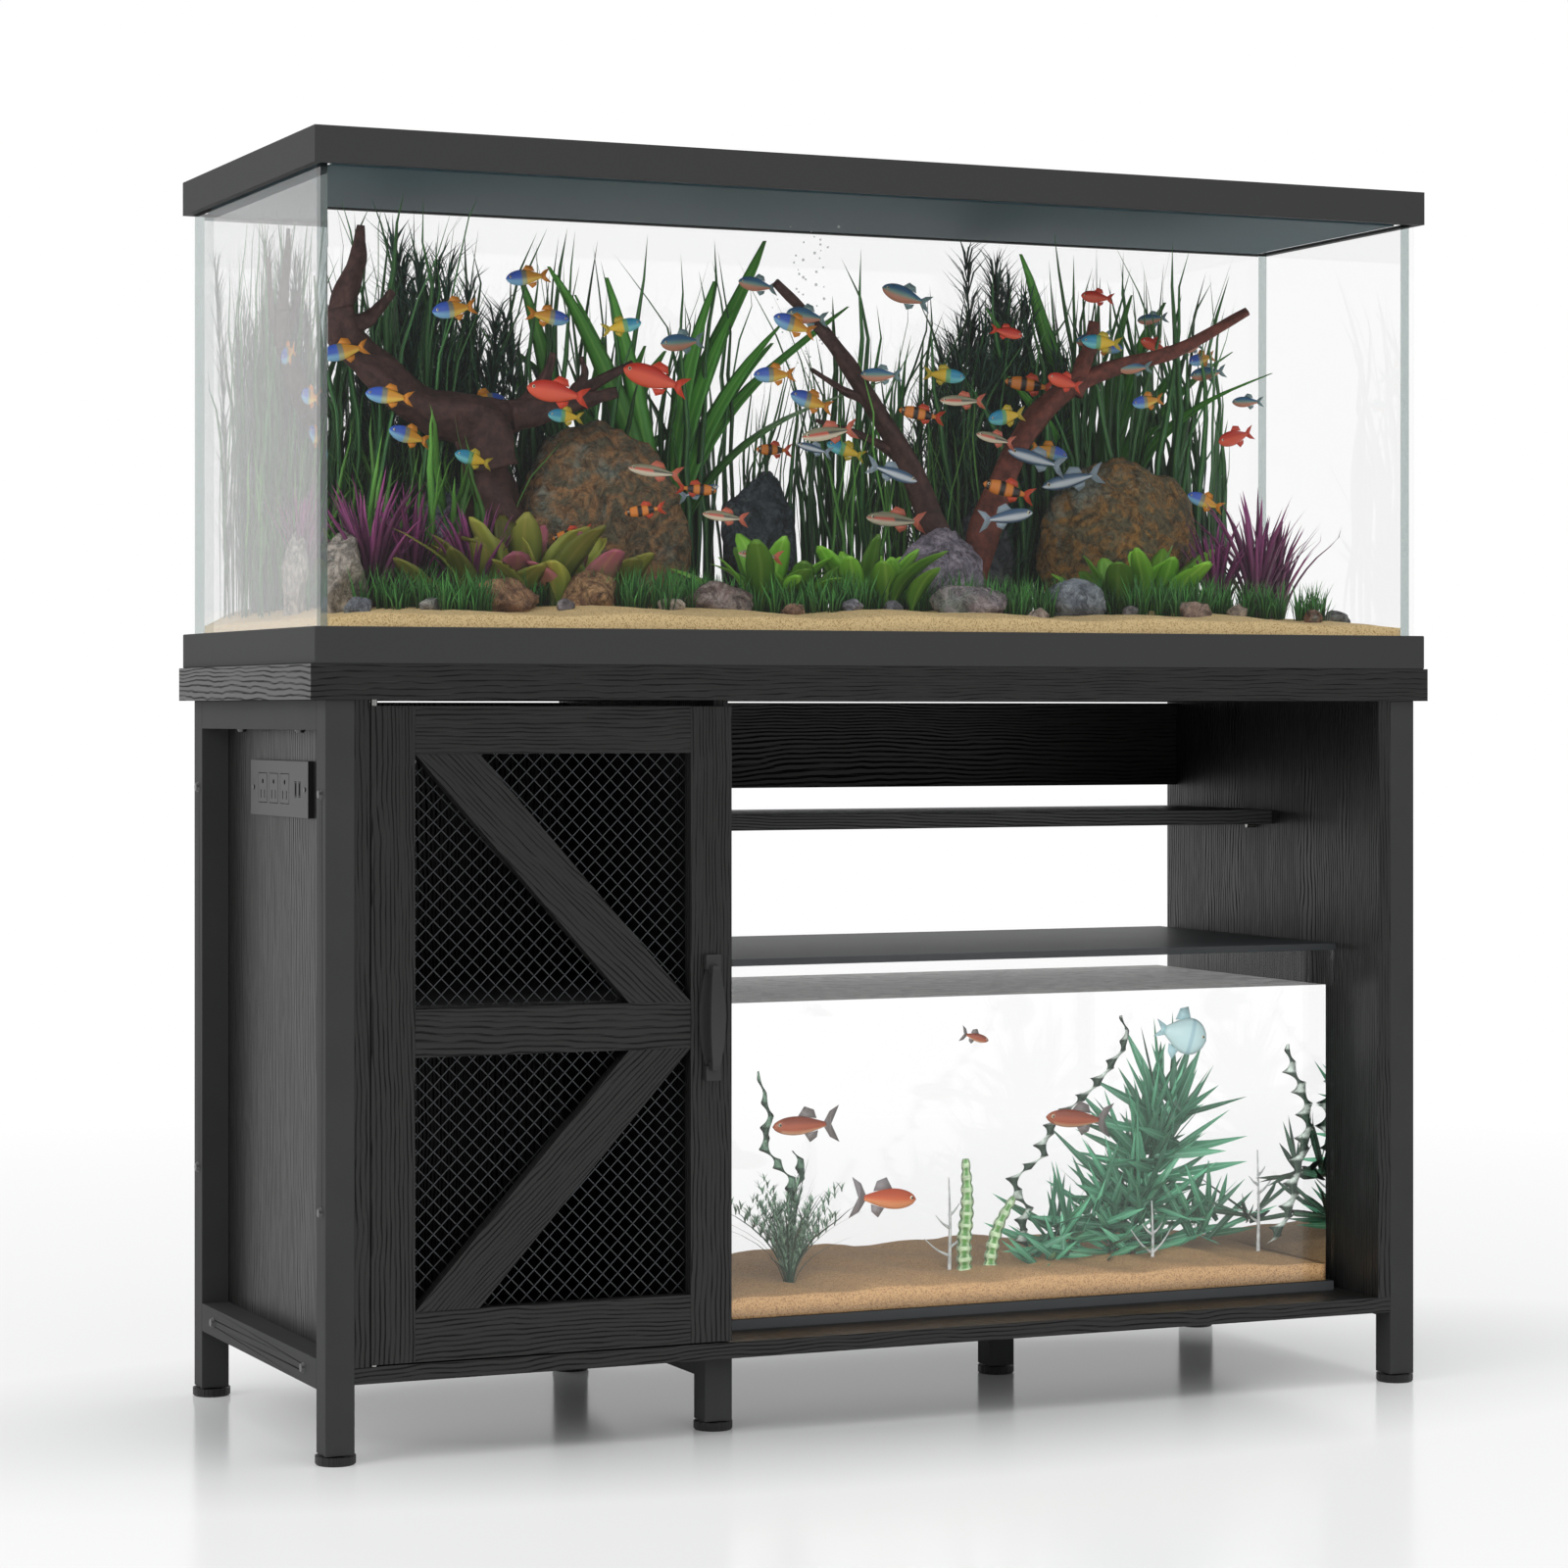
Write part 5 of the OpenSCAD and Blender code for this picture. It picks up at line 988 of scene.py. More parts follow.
def blade_place(rng, root, tall, width, lean, way, twist, drop=0.0, shade=None):
    """One leaf for scatter: it leans by a share of its height towards way and drops at its tip."""
    push = (tall * lean * math.cos(way), tall * lean * math.sin(way), -tall * drop)
    turn = (0, 0, way + math.pi / 2 + twist)
    return root, turn, (width, width, tall), push, rng.random() if shade is None else shade


def grass_bed(rng, count, low, high, tall, width, lean):
    """Blades spread evenly between two places on the sand; tall is a range in millimetres."""
    places = []
    for i in range(count):
        share = (i + rng.random()) / count
        u = low[0] + (high[0] - low[0]) * share
        v = rng.uniform(low[1], high[1])
        places.append(blade_place(rng, spot(u, v, sand_top(u, v) - 6), rng.uniform(*tall) * MM,
                                  rng.uniform(*width) * MM, rng.uniform(0, lean), rng.uniform(0, math.tau),
                                  rng.uniform(-1, 1)))
    return places


def fan(rng, count, root, tall, width, lean, drop=0.0):
    """Leaves that spread from one root, the outer ones leaning more."""
    squeeze = 0.7       # the root's depth as a share of its width
    places = []
    for i in range(count):
        way = i * GOLDEN_TURN + rng.uniform(-0.3, 0.3)
        out = (i + 0.5) / count
        foot = root + Vector((math.cos(way), math.sin(way) * squeeze, 0)) * out * 3 * width[1] * MM
        places.append(blade_place(rng, foot, rng.uniform(*tall) * MM, rng.uniform(*width) * MM,
                                  lean * (0.25 + 0.9 * out) * rng.uniform(0.8, 1.2), way,
                                  rng.uniform(-0.7, 0.7), drop * out))
    return places


def bushy_stem(rng, root, tall, lean, way, needle, width, every, each=4):
    """Needles in whorls along a stem that leans; needle is their length in millimetres."""
    places = []
    count = int(tall / every)
    for i in range(3, count):
        k = i / count
        shift = Vector((math.cos(way), math.sin(way), 0)) * lean * tall * MM * k * k
        node = root + shift + Vector((0, 0, tall * k * MM))
        for _ in range(each):
            turn = rng.uniform(0, math.tau)
            length = needle * rng.uniform(0.7, 1.15) * (1 - 0.35 * k)
            places.append(blade_place(rng, node, length * MM, rng.uniform(*width) * MM,
                                      rng.uniform(0.3, 0.95), turn, rng.uniform(-0.4, 0.4),
                                      rng.uniform(-0.05, 0.3)))
    return places


def plant_upper_tank():
    """Bushes, grasses and swords at the back, rosettes, tufts and a carpet in front."""
    rng = random.Random(7)
    blade = leaf_item("blade", 9, grass_width, THIN_SECTION)
    needle = leaf_item("needle", 2, grass_width, NEEDLE_SECTION)
    sword = leaf_item("sword leaf", 16, sword_width, BROAD_SECTION)
    spoon = leaf_item("spoon leaf", 12, spoon_width, BROAD_SECTION)
    dark_green = leaf_finish("dark bush leaf", "#1c4030", "#305a46", vein="#386650")
    grass_green = leaf_finish("tall grass leaf", "#1e4a2e", "#417f42")
    sword_green = leaf_finish("sword plant leaf", "#2c6428", "#58a83c", vein="#86c45c")

    # bushes: middle and spread along the tank, stems, height
    for name, bushes in [
            ("needle_bushes", [(-0.7, 0.11, 30, 435), (-0.55, 0.07, 9, 370), (-0.92, 0.05, 8, 400)]),
            ("right_needle_bush", [(0.4, 0.1, 27, 430), (0.3, 0.06, 9, 350)])]:
        leaves = []
        for middle, spread, count, height in bushes:
            for i in range(count):
                u = middle + spread * (2 * rng.random() - 1)
                edge = 1 - 0.3 * abs(u - middle) / spread
                root = spot(u, rng.uniform(0.4, 0.85), 20)
                leaves += bushy_stem(rng, root, height * rng.uniform(0.8, 1.0) * edge,
                                     rng.uniform(0.0, 0.12), rng.uniform(0, math.tau), 72, (1.0, 1.7),
                                     every=13, each=6)
        fit(scatter(name, needle, leaves, dark_green), dark_green,
            stands_for=["back_plants"] if name == "needle_bushes" else ())

    tall = []
    for row in [(110, (-0.97, 0.1), (-0.68, 0.9), (220, 440), (2.2, 4.2), 0.25),
                (130, (-0.7, 0.4), (-0.12, 0.9), (180, 400), (2.4, 4.6), 0.3),
                (70, (-0.1, 0.4), (0.12, 0.9), (140, 300), (1.6, 2.8), 0.25),
                (90, (0.08, 0.4), (0.45, 0.9), (180, 400), (2.4, 4.4), 0.3),
                (130, (0.42, 0.3), (0.84, 0.9), (220, 420), (2.6, 5.0), 0.3)]:
        tall += grass_bed(rng, *row)
    fit(scatter("tall_grass", blade, tall, grass_green, 0.06, 9), grass_green)

    near_green = leaf_finish("young grass leaf", "#2c6a2c", "#68a844")
    young = grass_bed(rng, 90, (-0.97, -0.1), (-0.62, 0.45), (110, 215), (2.4, 4.4), 0.55)
    young += grass_bed(rng, 40, (0.02, 0.0), (0.3, 0.5), (160, 270), (1.4, 2.4), 0.3)
    fit(scatter("young_grass", blade, young, near_green, 0.05, 12), near_green)

    swords = []
    for u, v, height, count, lean in [(-0.27, 0.5, 440, 14, 0.55), (0.6, 0.66, 430, 12, 0.45),
                                      (-0.42, 0.7, 400, 7, 0.4), (0.47, 0.7, 360, 6, 0.4)]:
        for i in range(count):
            side = math.pi if i % 2 else 0
            way = side + rng.uniform(-0.7, 0.7)
            share = (i + 1) / count
            swords.append(blade_place(rng, spot(u, v, 25), height * rng.uniform(0.75, 1.0) * MM,
                                      rng.uniform(9, 14) * MM, lean * (0.2 + share), way,
                                      math.radians(60) * rng.uniform(0.6, 1.2), 0.02 + 0.4 * share ** 3,
                                      rng.uniform(0.35, 1.0)))
    fit(scatter("sword_plants", sword, swords, sword_green, 0.03, 6), sword_green)

    purple = leaf_finish("purple grass leaf", "#26382e", "#9c4684", vein="#9a5688")
    tufts = []
    for u, v, height in [(-0.86, -0.2, 150), (-0.78, -0.1, 140), (-0.68, -0.2, 130), (0.82, -0.2, 155),
                         (0.88, -0.05, 135), (0.75, -0.1, 120)]:
        tufts += fan(rng, 52, spot(u, v, sand_top(u, v) - 8), (height * 0.6, height), (2.4, 4.0), 0.55, 0.12)
    fit(scatter("purple_grass", blade, tufts, purple, 0.01, 14), purple,
        stands_for=["front_plants"])

    bright = leaf_finish("bright broad leaf", "#3d7a22", "#7fbe3a", vein="#a8d860")
    broad = []
    for u, v, height in [(-0.16, -0.3, 92), (-0.1, -0.34, 70), (0.02, -0.32, 98), (0.07, -0.36, 72),
                         (0.59, -0.36, 95), (0.53, -0.3, 75)]:
        broad += fan(rng, 12, spot(u, v, sand_top(u, v) - 6), (height * 0.65, height), (12, 18), 0.85, 0.25)
    fit(scatter("broad_leaf_plants", spoon, broad, bright, 0.012, 20), bright)

    olive = leaf_finish("olive broad leaf", "#4f7a34", "#96963c", vein="#b0a456")
    pink = leaf_finish("pink-tipped broad leaf", "#7a8a3a", "#b8607a", vein="#c08a6a")
    rosettes = []
    for u, v, height in [(-0.6, -0.26, 108), (-0.53, -0.3, 92), (-0.66, -0.2, 90), (-0.47, -0.24, 80)]:
        rosettes += fan(rng, 13, spot(u, v, sand_top(u, v) - 6), (height * 0.6, height), (15, 23), 0.7, 0.2)
    olive_leaves = rosettes[::2] + rosettes[1::4]
    fit(scatter("olive_rosettes", spoon, olive_leaves, olive, 0.014, 22), olive)
    fit(scatter("pink_rosettes", spoon, rosettes[3::4], pink, 0.014, 22), pink)

    carpet_green = leaf_finish("carpet grass leaf", "#1d4a24", "#4f9a44")
    carpet = []
    for i in range(230):
        u = -0.9 + 1.8 * (i + rng.random()) / 230
        v = -0.5 + 0.16 * math.sin(u * 19) + rng.uniform(-0.12, 0.12)
        carpet += fan(rng, 14, spot(u, v, sand_top(u, v) - 4), (20, 50), (1.0, 1.7), 0.4)
    fit(scatter("carpet_grass", needle, carpet, carpet_green), carpet_green)


# Fish -----------------------------------------------------------------------------------------------------

def fish_finish():
    """Living fish: wet, finely scaled, in the colours that the mesh carries."""
    material, tree, shader, place = new_finish("wet fish scales", "#888888", 0.32)
    paint = add(tree, "ShaderNodeAttribute", attribute_name="paint").outputs["Color"]
    supply(tree, shader, {"Base Color": paint})
    scales = add(tree, "ShaderNodeTexVoronoi", {"Vector": place, "Scale": 620})
    bump = add(tree, "ShaderNodeBump", {"Height": scales.outputs["Distance"], "Strength": 0.3,
                                        "Distance": 0.3 * MM})
    supply(tree, shader, {"Normal": bump})
    return material


def fish_item(name, deep, colour_at, fin_colour, tail=0.16, fins=0.09):
    """A fish one unit long with its nose at +X, half as deep as deep says. colour_at(k, h) gives its colour
    from the nose back and up."""
    body = Gather()
    stations, sides = 22, 14
    deepest = 0.42      # where the body is deepest, as a share of its length
    behind = 0.58       # and the rest of it
    slim = 0.42         # its width as a share of its depth
    trunk = 0.8         # the body's length; the rest is tail
    verts, paint = [], []
    for i in range(stations + 1):
        k = i / stations
        front = max(1 - (1 - min(k / deepest, 1)) ** 2, 0) ** 0.62
        back = max(math.cos(math.pi / 2 * (k - deepest) / behind), 0) ** 1.15
        rear = 1.0 if k < deepest else 0.26 + 0.74 * back
        half = max(deep * front * rear, 0.004)
        for s in range(sides):
            angle = math.tau * s / sides
            verts.append(Vector((0.5 - trunk * k, slim * half * math.cos(angle), half * math.sin(angle))))
            paint.append(srgb(colour_at(trunk * k, math.sin(angle))))
    body.take(verts, [tuple(reversed(f)) for f in ring_faces(stations + 1, sides)], paint=paint)
    root = deep * 0.22
    outlines = [    # of the tail, the back fin and the belly fin
        [(-0.27, root), (-0.36, tail * 0.7), (-0.5, tail), (-0.38, 0.0), (-0.5, -tail), (-0.36, -tail * 0.7),
         (-0.27, -root)],
        [(0.12, deep * 0.93), (0.02, deep + fins), (-0.12, deep + fins * 0.6), (-0.16, deep * 0.66)],
        [(0.02, -deep * 0.9), (-0.06, -deep - fins * 0.8), (-0.16, -deep * 0.8 - fins * 0.5),
         (-0.18, -deep * 0.6)],
    ]
    for outline in outlines:
        count = len(outline)
        sheet = [Vector((x, side * 0.006, z)) for side in (-1, 1) for x, z in outline]
        faces = [tuple(range(count)), tuple(reversed(range(count, 2 * count)))]
        faces += [(i, count + i, count + (i + 1) % count, (i + 1) % count) for i in range(count)]
        body.take(sheet, [tuple(reversed(f)) for f in faces], paint=srgb(fin_colour))
    for side in (-1, 1):
        for radius, out, colour in ((0.026, 0.0, "#e6dcc0"), (0.017, 0.014, "#0b0b0c")):
            ball = bmesh.new()
            bmesh.ops.create_uvsphere(ball, u_segments=10, v_segments=6, radius=radius)
            corners, faces = unpack(ball)
            centre = Vector((0.405, side * (0.29 * deep + out), deep * 0.16))
            body.take([centre + corner for corner in corners], faces, paint=srgb(colour))
    return hidden_item(body.piece(name))


def rainbow_colour(k, h):
    if k < 0.36:
        return "#3a5fc0" if h > -0.2 else "#7fb4d8"
    if k < 0.44:
        return "#7f8070" if h > -0.2 else "#b4bc92"
    return "#d8952a" if h > -0.3 else "#ecc04c"


def teal_colour(k, h):
    if k < 0.36:
        return "#2b8fb4" if h > -0.3 else "#6fc4cc"
    return "#6fae7a" if k < 0.46 else "#e6bf34"


def dusk_colour(k, h):
    return "#3e6c92" if h > 0.3 else "#6f9a8c" if h > -0.3 else "#c98a70"


def red_colour(k, h):
    return "#c8321f" if h > 0 else "#e0583a"


def loach_colour(k, h):
    banded = abs(k - 0.1) < 0.04 or abs(k - 0.36) < 0.06 or abs(k - 0.64) < 0.06
    return "#1a1412" if banded else "#d9802a"


def danio_colour(k, h):
    striped = abs(h - 0.15) < 0.18 or abs(h + 0.45) < 0.15
    return "#c4ccd2" if striped else "#44607c"


def redline_colour(k, h):
    if abs(h - 0.12) < 0.2:
        return "#c8402c" if k < 0.45 else "#262422"
    return "#8c8a70" if h > 0 else "#d8cdb4"


# kinds of fish in the upper tank: half depth of the body, colours, colour of the fins, and shoals, each
# with its middle, its spread either way, count, shortest and longest fish, in millimetres
SPECIES = {
    "rainbow": (0.17, rainbow_colour, "#d88a2c", [
        ((-430, -20, 1070), (130, 70, 85), 7, 46, 54),
        ((-70, -50, 1080), (40, 30, 50), 3, 46, 52),
        ((380, 20, 1030), (130, 70, 110), 5, 34, 54)]),
    "dusk": (0.16, dusk_colour, "#7f9a9c", [
        ((-30, 0, 1110), (170, 40, 60), 5, 46, 60),
        ((400, 40, 1090), (130, 60, 60), 6, 32, 50)]),
    "teal": (0.165, teal_colour, "#c9b23a", [
        ((-300, -50, 1020), (120, 30, 90), 3, 40, 52),
        ((230, -20, 1040), (230, 40, 80), 4, 40, 52)]),
    "red": (0.165, red_colour, "#d8462c", [
        ((-280, -90, 1035), (150, 30, 40), 2, 64, 72),
        ((350, 10, 1090), (190, 80, 100), 5, 36, 54)]),
    "loach": (0.13, loach_colour, "#c8482a", [
        ((-240, -100, 905), (90, 40, 50), 3, 42, 46),
        ((130, 0, 1020), (200, 60, 80), 4, 44, 64)]),
    "danio": (0.10, danio_colour, "#8fa0ac", [((70, -60, 955), (260, 70, 45), 6, 42, 80)]),
    "redline": (0.105, redline_colour, "#c86a52", [((-40, -90, 955), (230, 60, 85), 7, 42, 76)]),
}


def swim(rng, point, length, heading, tilt):
    """One fish for scatter, turned a little out of the tank's length."""
    turn = Euler((rng.uniform(-0.1, 0.1), -math.radians(tilt), (0 if heading > 0 else math.pi)
                  + rng.uniform(-0.3, 0.3)), "XYZ")
    return point, tuple(turn), (length * MM,) * 3, (0, 0, 0), rng.random()


def shoal(rng, middle, spread, count, shortest, longest):
    """Fish spaced evenly but without rows about a middle; five in six swim to the left."""
    start = rng.random()
    places = []
    for i in range(count):
        shares = [(i * step + start) % 1 * 2 - 1 for step in (0.618, 0.414, 0.755)]
        point = tank_point(*(m + s * share for m, s, share in zip(middle, spread, shares)))
        heading = 1 if rng.random() < 0.17 else -1
        places.append(swim(rng, point, rng.uniform(shortest, longest), heading, rng.uniform(-15, 20)))
    return places


def stock_fish(finish):
    rng = random.Random(3)
    for species, (deep, colour_at, fin_colour, shoals) in SPECIES.items():
        item = fish_item(species + " fish", deep, colour_at, fin_colour)
        places = [place for row in shoals for place in shoal(rng, *row)]
        fit(scatter(species + "_fish", item, places, finish), finish)


def goldfish_colour(k, h):
    if k < 0.14:
        return "#a4552f"
    return "#86381c" if h > 0.1 else "#a8502c" if h > -0.45 else "#d09a76"


def bright_goldfish_colour(k, h):
    return "#b8481c" if h > 0.2 else "#d0602a" if h > -0.4 else "#e0905c"


def angelfish_colour(k, h):
    return "#a6ccd4" if abs(k - 0.3) < 0.04 else "#c5e4e6"


def stock_lower_tank(finish):
    """Four fantail goldfish, one of them bright, and one pale angelfish."""
    rng = random.Random(5)
    # half depth, colours, colour of the fins, sizes of tail and fins, and for each fish: place, length,
    # heading and tilt
    kinds = {
        "goldfish_group": (0.125, goldfish_colour, "#7c7674", 0.24, 0.12, [
            (-0.65, -0.5, 185, 80, -1, 0),
            (-0.1, -0.5, 270, 36, 1, -15),
            (0.3, -0.25, 175, 80, -1, 5)]),
        "goldfish_bright": (0.13, bright_goldfish_colour, "#8c8688", 0.25, 0.13, [
            (-0.4, -0.5, 105, 85, 1, -5)]),
        "angelfish_pale": (0.33, angelfish_colour, "#b5dbe0", 0.16, 0.17, [
            (0.6, -0.5, 265, 62, 1, -15)]),
    }
    for name, (deep, colour_at, fin_colour, tail, fins, rows) in kinds.items():
        item = fish_item(name + " fish", deep, colour_at, fin_colour, tail, fins)
        placed = [swim(rng, low_spot(u, v, z), length, heading, tilt)
                  for u, v, z, length, heading, tilt in rows]
        fit(scatter(name, item, placed, finish, tank=LOWER), finish)


# Plants of the lower tank ---------------------------------------------------------------------------------

def spiked(rng, centre, count, reach, width, tilt, scattered=4):
    """Stiff straight blades about a point: reach, width and scattered are in millimetres, and tilt is the
    range of degrees from upright."""
    places = []
    for i in range(count):
        way = i * GOLDEN_TURN + rng.uniform(-0.4, 0.4)
        broad_side = math.pi / 2 * abs(math.cos(way)) + rng.uniform(-0.6, 0.6)
        turn = (Matrix.Rotation(way + math.pi / 2, 3, "Z")
                @ Matrix.Rotation(math.radians(rng.uniform(*tilt)), 3, "X")
                @ Matrix.Rotation(broad_side, 3, "Z"))
        wide = rng.uniform(*width) * MM
        foot = centre + Vector([rng.uniform(-scattered, scattered) * MM for _ in range(3)])
        size = (wide, wide, rng.uniform(*reach) * MM)
        places.append((foot, tuple(turn.to_euler()), size, (0, 0, 0), rng.random()))
    return places


def ribbon_vine(gather, points, width, dark, pale):
    """A flat vine folded to and fro like a ribbon. The folds that turn one way are drawn pale: partly the
    vine's paler back, partly painted highlight.
    """
    curve = smooth_path([low_spot(*point) for point in points], 18)
    verts, tint, phase = [], [], 0.0
    for i, point in enumerate(curve):
        phase += (point - curve[max(i - 1, 0)]).length / (4 * MM)
        half = width * MM * (0.85 + 0.15 * abs(math.sin(phase))) * min(1, 4 * (1 - i / len(curve)) + 0.2)
        middle = point + Vector((0.55 * half * math.sin(phase), 0, 0))
        flat = Vector((0.85 + 0.1 * math.cos(phase), 0.6 * math.sin(phase), 0.3 * math.cos(phase)))
        verts += [middle - flat * half, middle - Vector((0, 0.5 * MM, 0)), middle + flat * half,
                  middle + Vector((0, 0.5 * MM, 0))]
        # painted highlight in part: the folds that turn one way take the pale colour
        tint += [srgb(pale if math.cos(phase) > 0.2 else dark)] * 4
    gather.take(verts, ring_faces(len(curve), 4), tint=tint)


def ribbed_column(gather, points, radius, rows):
    """A column plant with pale collars that stand out from its green body, and five pale ribs."""
    sides = 15
    curve = smooth_path([low_spot(*point) for point in points], 40)

    def radius_at(k, angle, point):
        collar = 0.74 + 0.26 * abs(math.sin(math.pi * rows * k))
        return radius * MM * (1 - 0.5 * k ** 3) * (1 + 0.12 * math.cos(5 * angle)) * collar

    tint = []
    for i in range(len(curve)):
        pale = abs(math.sin(math.pi * rows * i / (len(curve) - 1))) > 0.86
        for j in range(sides):
            tint.append(srgb("#c3dcb4" if pale or j % 3 == 0 else "#5b9a48"))
    gather.take(sweep(curve, radius_at, sides), ring_faces(len(curve), sides), tint=tint)


def coral(gather, root, tall, arms):
    """A pale branching coral: a tapering stem, and arms with their height as a share of the stem's, their
    reach aside and their rise in millimetres."""
    def limb(points, steps, thick, thin, sides, colour):
        curve = smooth_path(points, steps)
        verts = sweep(curve, lambda k, angle, point: (thick - (thick - thin) * k) * MM, sides)
        gather.take(verts, ring_faces(len(curve), sides), tint=srgb(colour))

    limb([root, root + Vector((1, 0, tall * 0.5)) * MM, root + Vector((0, 1, tall)) * MM], 6, 2.6, 0.7, 8,
         "#c9cdcd")
    for share, aside, rise in arms:
        foot = root + Vector((0, 0, tall * share)) * MM
        tip = foot + Vector((aside, 0.2 * aside, rise)) * MM
        elbow = (foot + tip) / 2 - Vector((0, 0, abs(rise) * 0.12)) * MM
        limb([foot, elbow, tip], 5, 1.8, 0.5, 6, "#c4c9c9")


def soft_plant_finish():
    """Moulded aquarium ornament: soft vinyl and resin in the colours that the mesh carries."""
    material, tree, shader, place = new_finish("moulded vinyl plants", "#6f9a80", 0.45)
    tint = add(tree, "ShaderNodeAttribute", attribute_name="tint").outputs["Color"]
    mottle = add(tree, "ShaderNodeTexNoise", {"Vector": place, "Scale": 140, "Detail": 3})
    shade = add(tree, "ShaderNodeMapRange", {"Value": mottle, "From Min": 0.3, "From Max": 0.7,
                                             "To Min": 0.7, "To Max": 1.2})
    tone = add(tree, "ShaderNodeVectorMath", {0: tint, "Scale": shade}, operation="SCALE")
    supply(tree, shader, {"Base Color": tone})
    return material


# clusters of the big spiky bush: middle, blades, reach, width, tilt
SPIKY_BUSH = [
    ((0.55, -0.15, 30), 44, (40, 95), (2.8, 5.0), (30, 95)),
    ((0.5, -0.15, 75), 50, (60, 115), (3.0, 5.2), (15, 100)),
    ((0.56, -0.15, 115), 50, (60, 115), (3.0, 5.6), (5, 95)),
    ((0.6, -0.15, 155), 34, (60, 112), (3.2, 5.8), (0, 85)),
    ((0.62, -0.15, 188), 14, (50, 92), (3.2, 5.4), (0, 50)),
    ((0.23, -0.3, 46), 44, (40, 88), (2.6, 4.4), (5, 95)),
    ((0.38, -0.25, 60), 30, (50, 90), (2.8, 4.6), (10, 95)),
    ((0.74, -0.2, 55), 32, (45, 90), (2.8, 4.6), (20, 95)),
    ((0.12, -0.45, 22), 20, (30, 62), (2.6, 4.2), (50, 88)),
    ((0.42, -0.35, 24), 30, (35, 75), (2.6, 4.2), (45, 88)),
]


def plant_lower_tank():
    """A fine bush at the left with arching leaves, stiff dark leaves at the right and a big spiky bush."""
    rng = random.Random(11)
    needle = leaf_item("fine needle", 3, grass_width, THIN_SECTION)
    fine_green = leaf_finish("fine bush leaf, lower tank", "#3c6646", "#9dbfa4", vein="#b8d2bc")
    root = low_spot(-0.72, -0.6, 14)
    left = []
    for i in range(44):
        lean = 0.85 * math.sqrt((i + 0.5) / 44)
        tall = rng.uniform(75, 135) * (1 - 0.2 * lean)
        left += bushy_stem(rng, root, tall, lean, i * GOLDEN_TURN, 17, (0.7, 1.2), every=7)
    fit(scatter("lower_fine_bush", needle, left, fine_green, tank=LOWER), fine_green,
        stands_for=["lower_plants"])

    dark_leaves = fan(rng, 34, root, (70, 150), (0.9, 1.8), 0.85, 0.35)
    dark_green = leaf_finish("dark arching leaf, lower tank", "#22402e", "#3f6650", vein="#56806a")
    blade = leaf_item("stiff blade", 8, stiff_width, THIN_SECTION, smooth=False)
    dark_leaves += spiked(rng, low_spot(0.96, -0.75, 112), 15, (38, 72), (2.4, 4.2), (15, 105))
    dark_leaves += spiked(rng, low_spot(0.86, -0.4, 60), 12, (50, 90), (2.0, 3.4), (50, 85))
    fit(scatter("lower_dark_leaves", blade, dark_leaves, dark_green, tank=LOWER), dark_green)

    # the pale midrib of these stiff blades is drawn in the colour of their glints, so it is partly painted
    # highlight
    spiky_green = leaf_finish("spiky bush leaf, lower tank", "#28684a", "#6ab890", roughness=0.3,
                              vein="#9ed8bc")
    spiky = []
    for middle, *row in SPIKY_BUSH:
        spiky += spiked(rng, low_spot(*middle), *row, scattered=18)
    fit(scatter("lower_spiky_bush", blade, spiky, spiky_green, tank=LOWER), spiky_green)


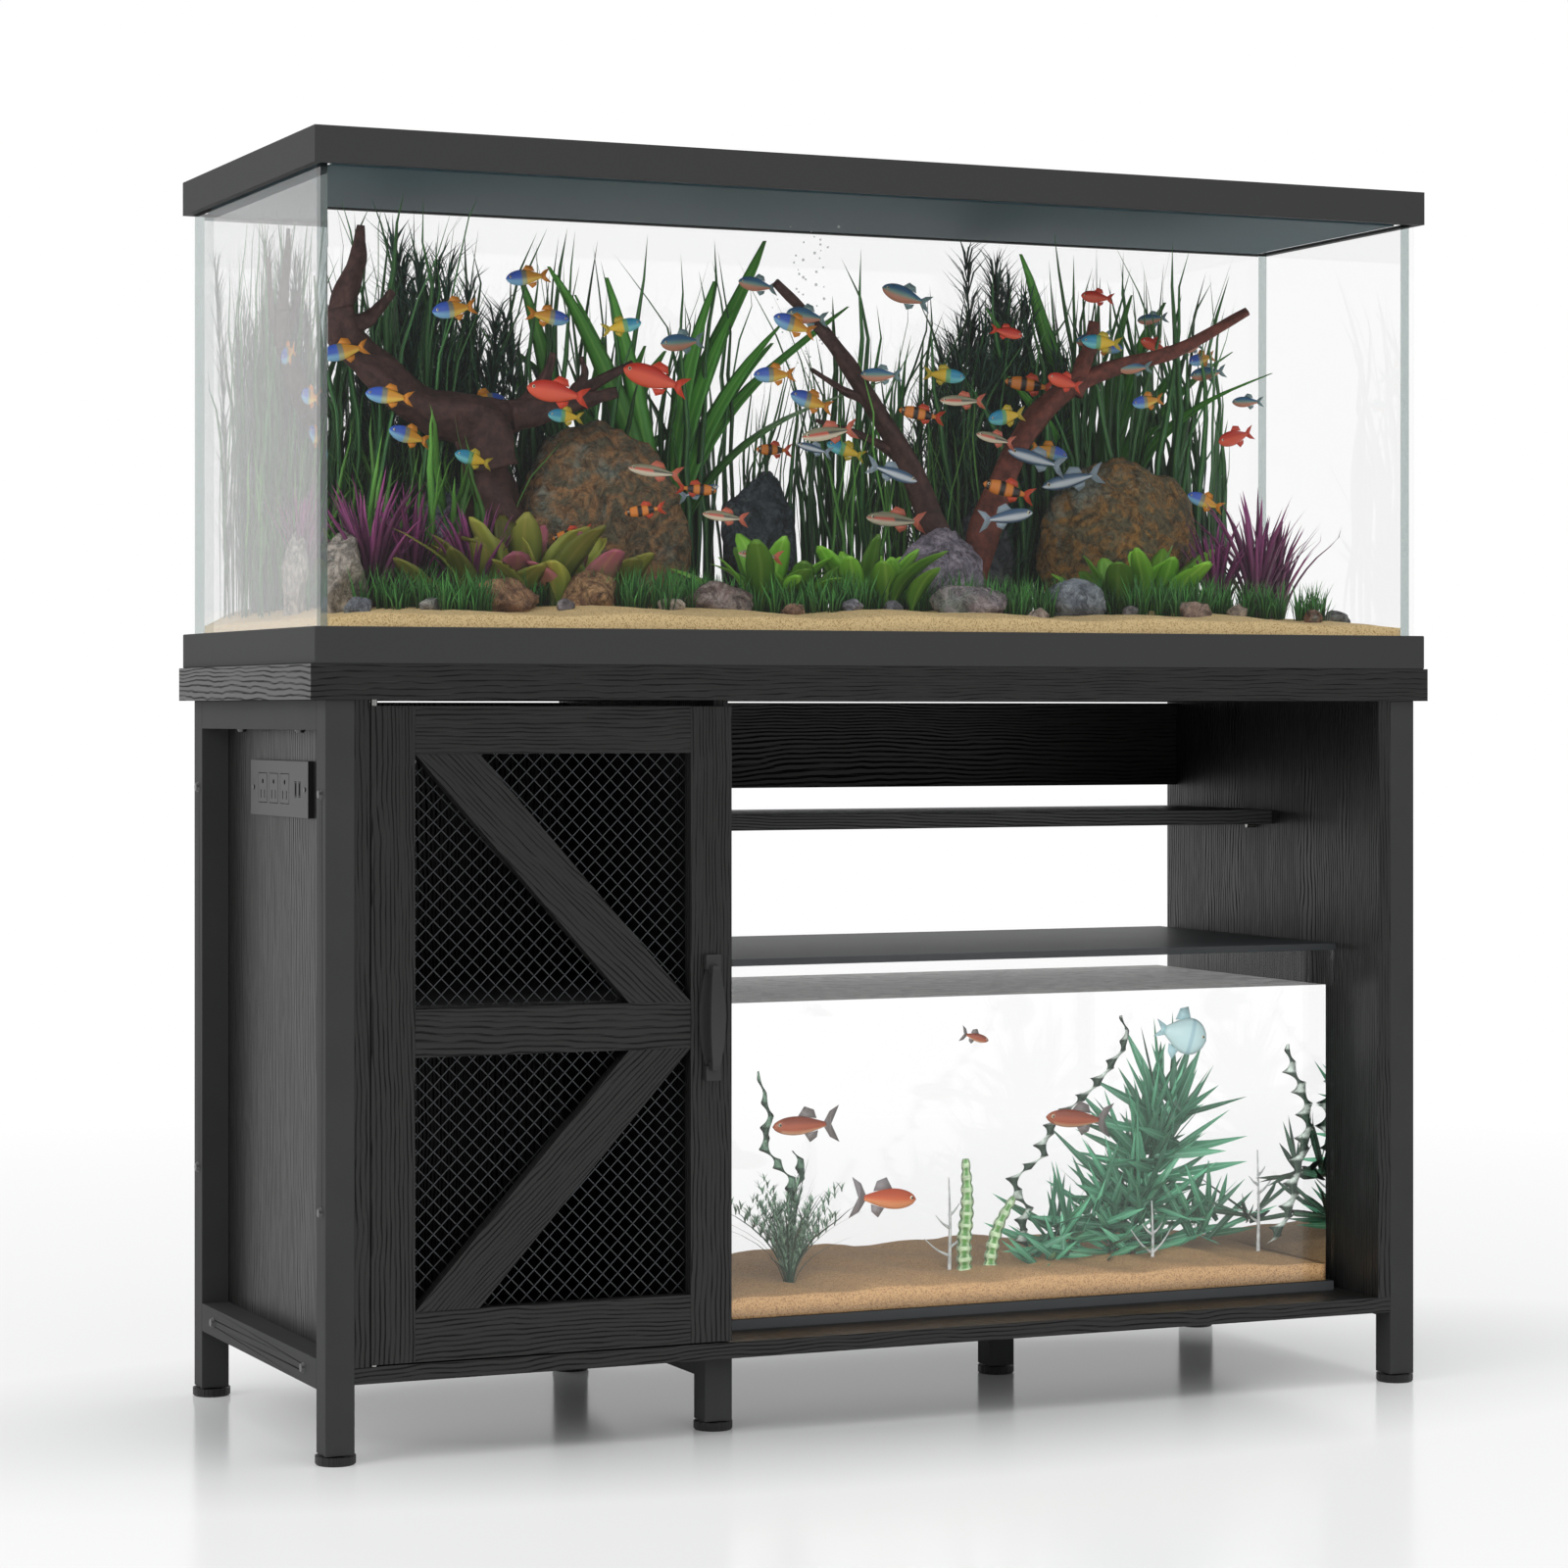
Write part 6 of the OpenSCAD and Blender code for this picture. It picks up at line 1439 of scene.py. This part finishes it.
def set_vines_and_corals():
    """Ribbon vines up to the water's surface, ribbed columns and white corals."""
    solid = Gather()
    dark = "#2c4636"
    vines = [   # half width, pale colour of the turned folds (partly their back, partly painted highlight), points
        (7.5, "#c9d6cc", [(0.15, -0.2, 30), (0.11, -0.2, 55), (0.13, -0.2, 80), (0.09, -0.2, 101),
                          (0.1, -0.2, 117), (0.18, -0.2, 136), (0.19, -0.2, 153), (0.24, -0.2, 177),
                          (0.33, -0.2, 200), (0.4, -0.2, 224), (0.47, -0.2, 257), (0.455, -0.2, 284)]),
        (8.5, "#c9d6cc", [(0.84, -0.85, 42), (0.9, -0.85, 74), (0.93, -0.85, 118), (0.965, -0.85, 160),
                          (0.955, -0.85, 197), (0.915, -0.85, 226), (0.9, -0.85, 254)]),
        (5.5, "#6f8f78", [(-0.79, -0.6, 90), (-0.735, -0.6, 106), (-0.71, -0.6, 126), (-0.755, -0.6, 147),
                          (-0.8, -0.6, 170), (-0.785, -0.6, 196), (-0.82, -0.6, 244)]),
        (5, "#5f7f68", [(-0.71, -0.55, 100), (-0.695, -0.55, 120), (-0.67, -0.55, 140), (-0.7, -0.55, 160)]),
    ]
    for width, pale, points in vines:
        ribbon_vine(solid, points, width, dark, pale)
    ribbed_column(solid, [(-0.13, -0.5, 8), (-0.135, -0.5, 50), (-0.125, -0.5, 95), (-0.13, -0.5, 142)],
                  8.5, 11)
    ribbed_column(solid, [(-0.05, -0.5, 12), (-0.045, -0.5, 40), (-0.02, -0.5, 70), (0.03, -0.5, 99)],
                  7.5, 8)
    corals = [  # foot, height, arms
        ((-0.17, -0.42, 16), 106, [(0.22, -31, 20), (0.5, -17, 14), (0.3, 28, 22), (0.62, 13, 12)]),
        ((0.49, -0.55, 8), 80, [(0.3, -28, 27), (0.3, 27, 27), (0.55, -13, 12), (0.55, 14, 12)]),
        ((0.87, -0.5, 10), 126, [(0.38, -15, 12), (0.62, 20, 16), (0.78, 10, 9), (0.7, -12, 10)]),
    ]
    for foot, tall, arms in corals:
        coral(solid, low_spot(*foot), tall, arms)
    fit(solid.piece("lower_vines_and_corals"), soft_plant_finish())


# Air ------------------------------------------------------------------------------------------------------

def rising_bubbles():
    """A thin column of air bubbles in the middle of the upper tank."""
    rng = random.Random(19)
    bubble = bmesh.new()
    bmesh.ops.create_icosphere(bubble, subdivisions=2, radius=0.5)
    item = hidden_item(new_piece("bubble", *unpack(bubble)))
    places = []
    for i in range(70):
        k = i / 69
        size = rng.uniform(1.2, 3.4) * MM * (0.6 + 0.6 * k)
        point = tank_point(-10 + rng.gauss(0, 9 + 14 * k), 60 + rng.gauss(0, 10), 1020 + 205 * k)
        places.append((point, (0, 0, 0), (size,) * 3, (0, 0, 0), 1.0))
    material = new_finish("air bubbles", "#f4fbfd", 0.08, Alpha=0.45)[0]
    fit(scatter("air_bubbles", item, places, material), material)


# Making it ------------------------------------------------------------------------------------------------

scene.view_settings.view_transform = "Standard"
set_camera()
set_world()
set_floor()
softbox("left softbox", (-3.4, -0.9, 1.9), (0, 0, 0.7), 2.6, 42)
softbox("top softbox", (0.3, -0.6, 3.6), (0, 0, 0.8), 2.6, 36)
softbox("front softbox", (0.6, -3.6, 1.6), (0, 0, 0.8), 2.0, 18)
finish_stand()
fill_tanks()
lay_sand()
set_stones()
set_driftwood()
plant_upper_tank()
scales = fish_finish()
stock_fish(scales)
plant_lower_tank()
set_vines_and_corals()
stock_lower_tank(scales)
rising_bubbles()
# the black boards keep the room's light from the lower tank, so it has a soft light of its own
softbox("lower tank softbox", (-0.6, -2.2, 0.75), (0.2, 0, 0.2), 1.2, 30,
        only=["lower_tank_sand", "lower_fine_bush", "lower_dark_leaves", "lower_spiky_bush",
              "lower_vines_and_corals", "goldfish_group", "goldfish_bright", "angelfish_pale"])
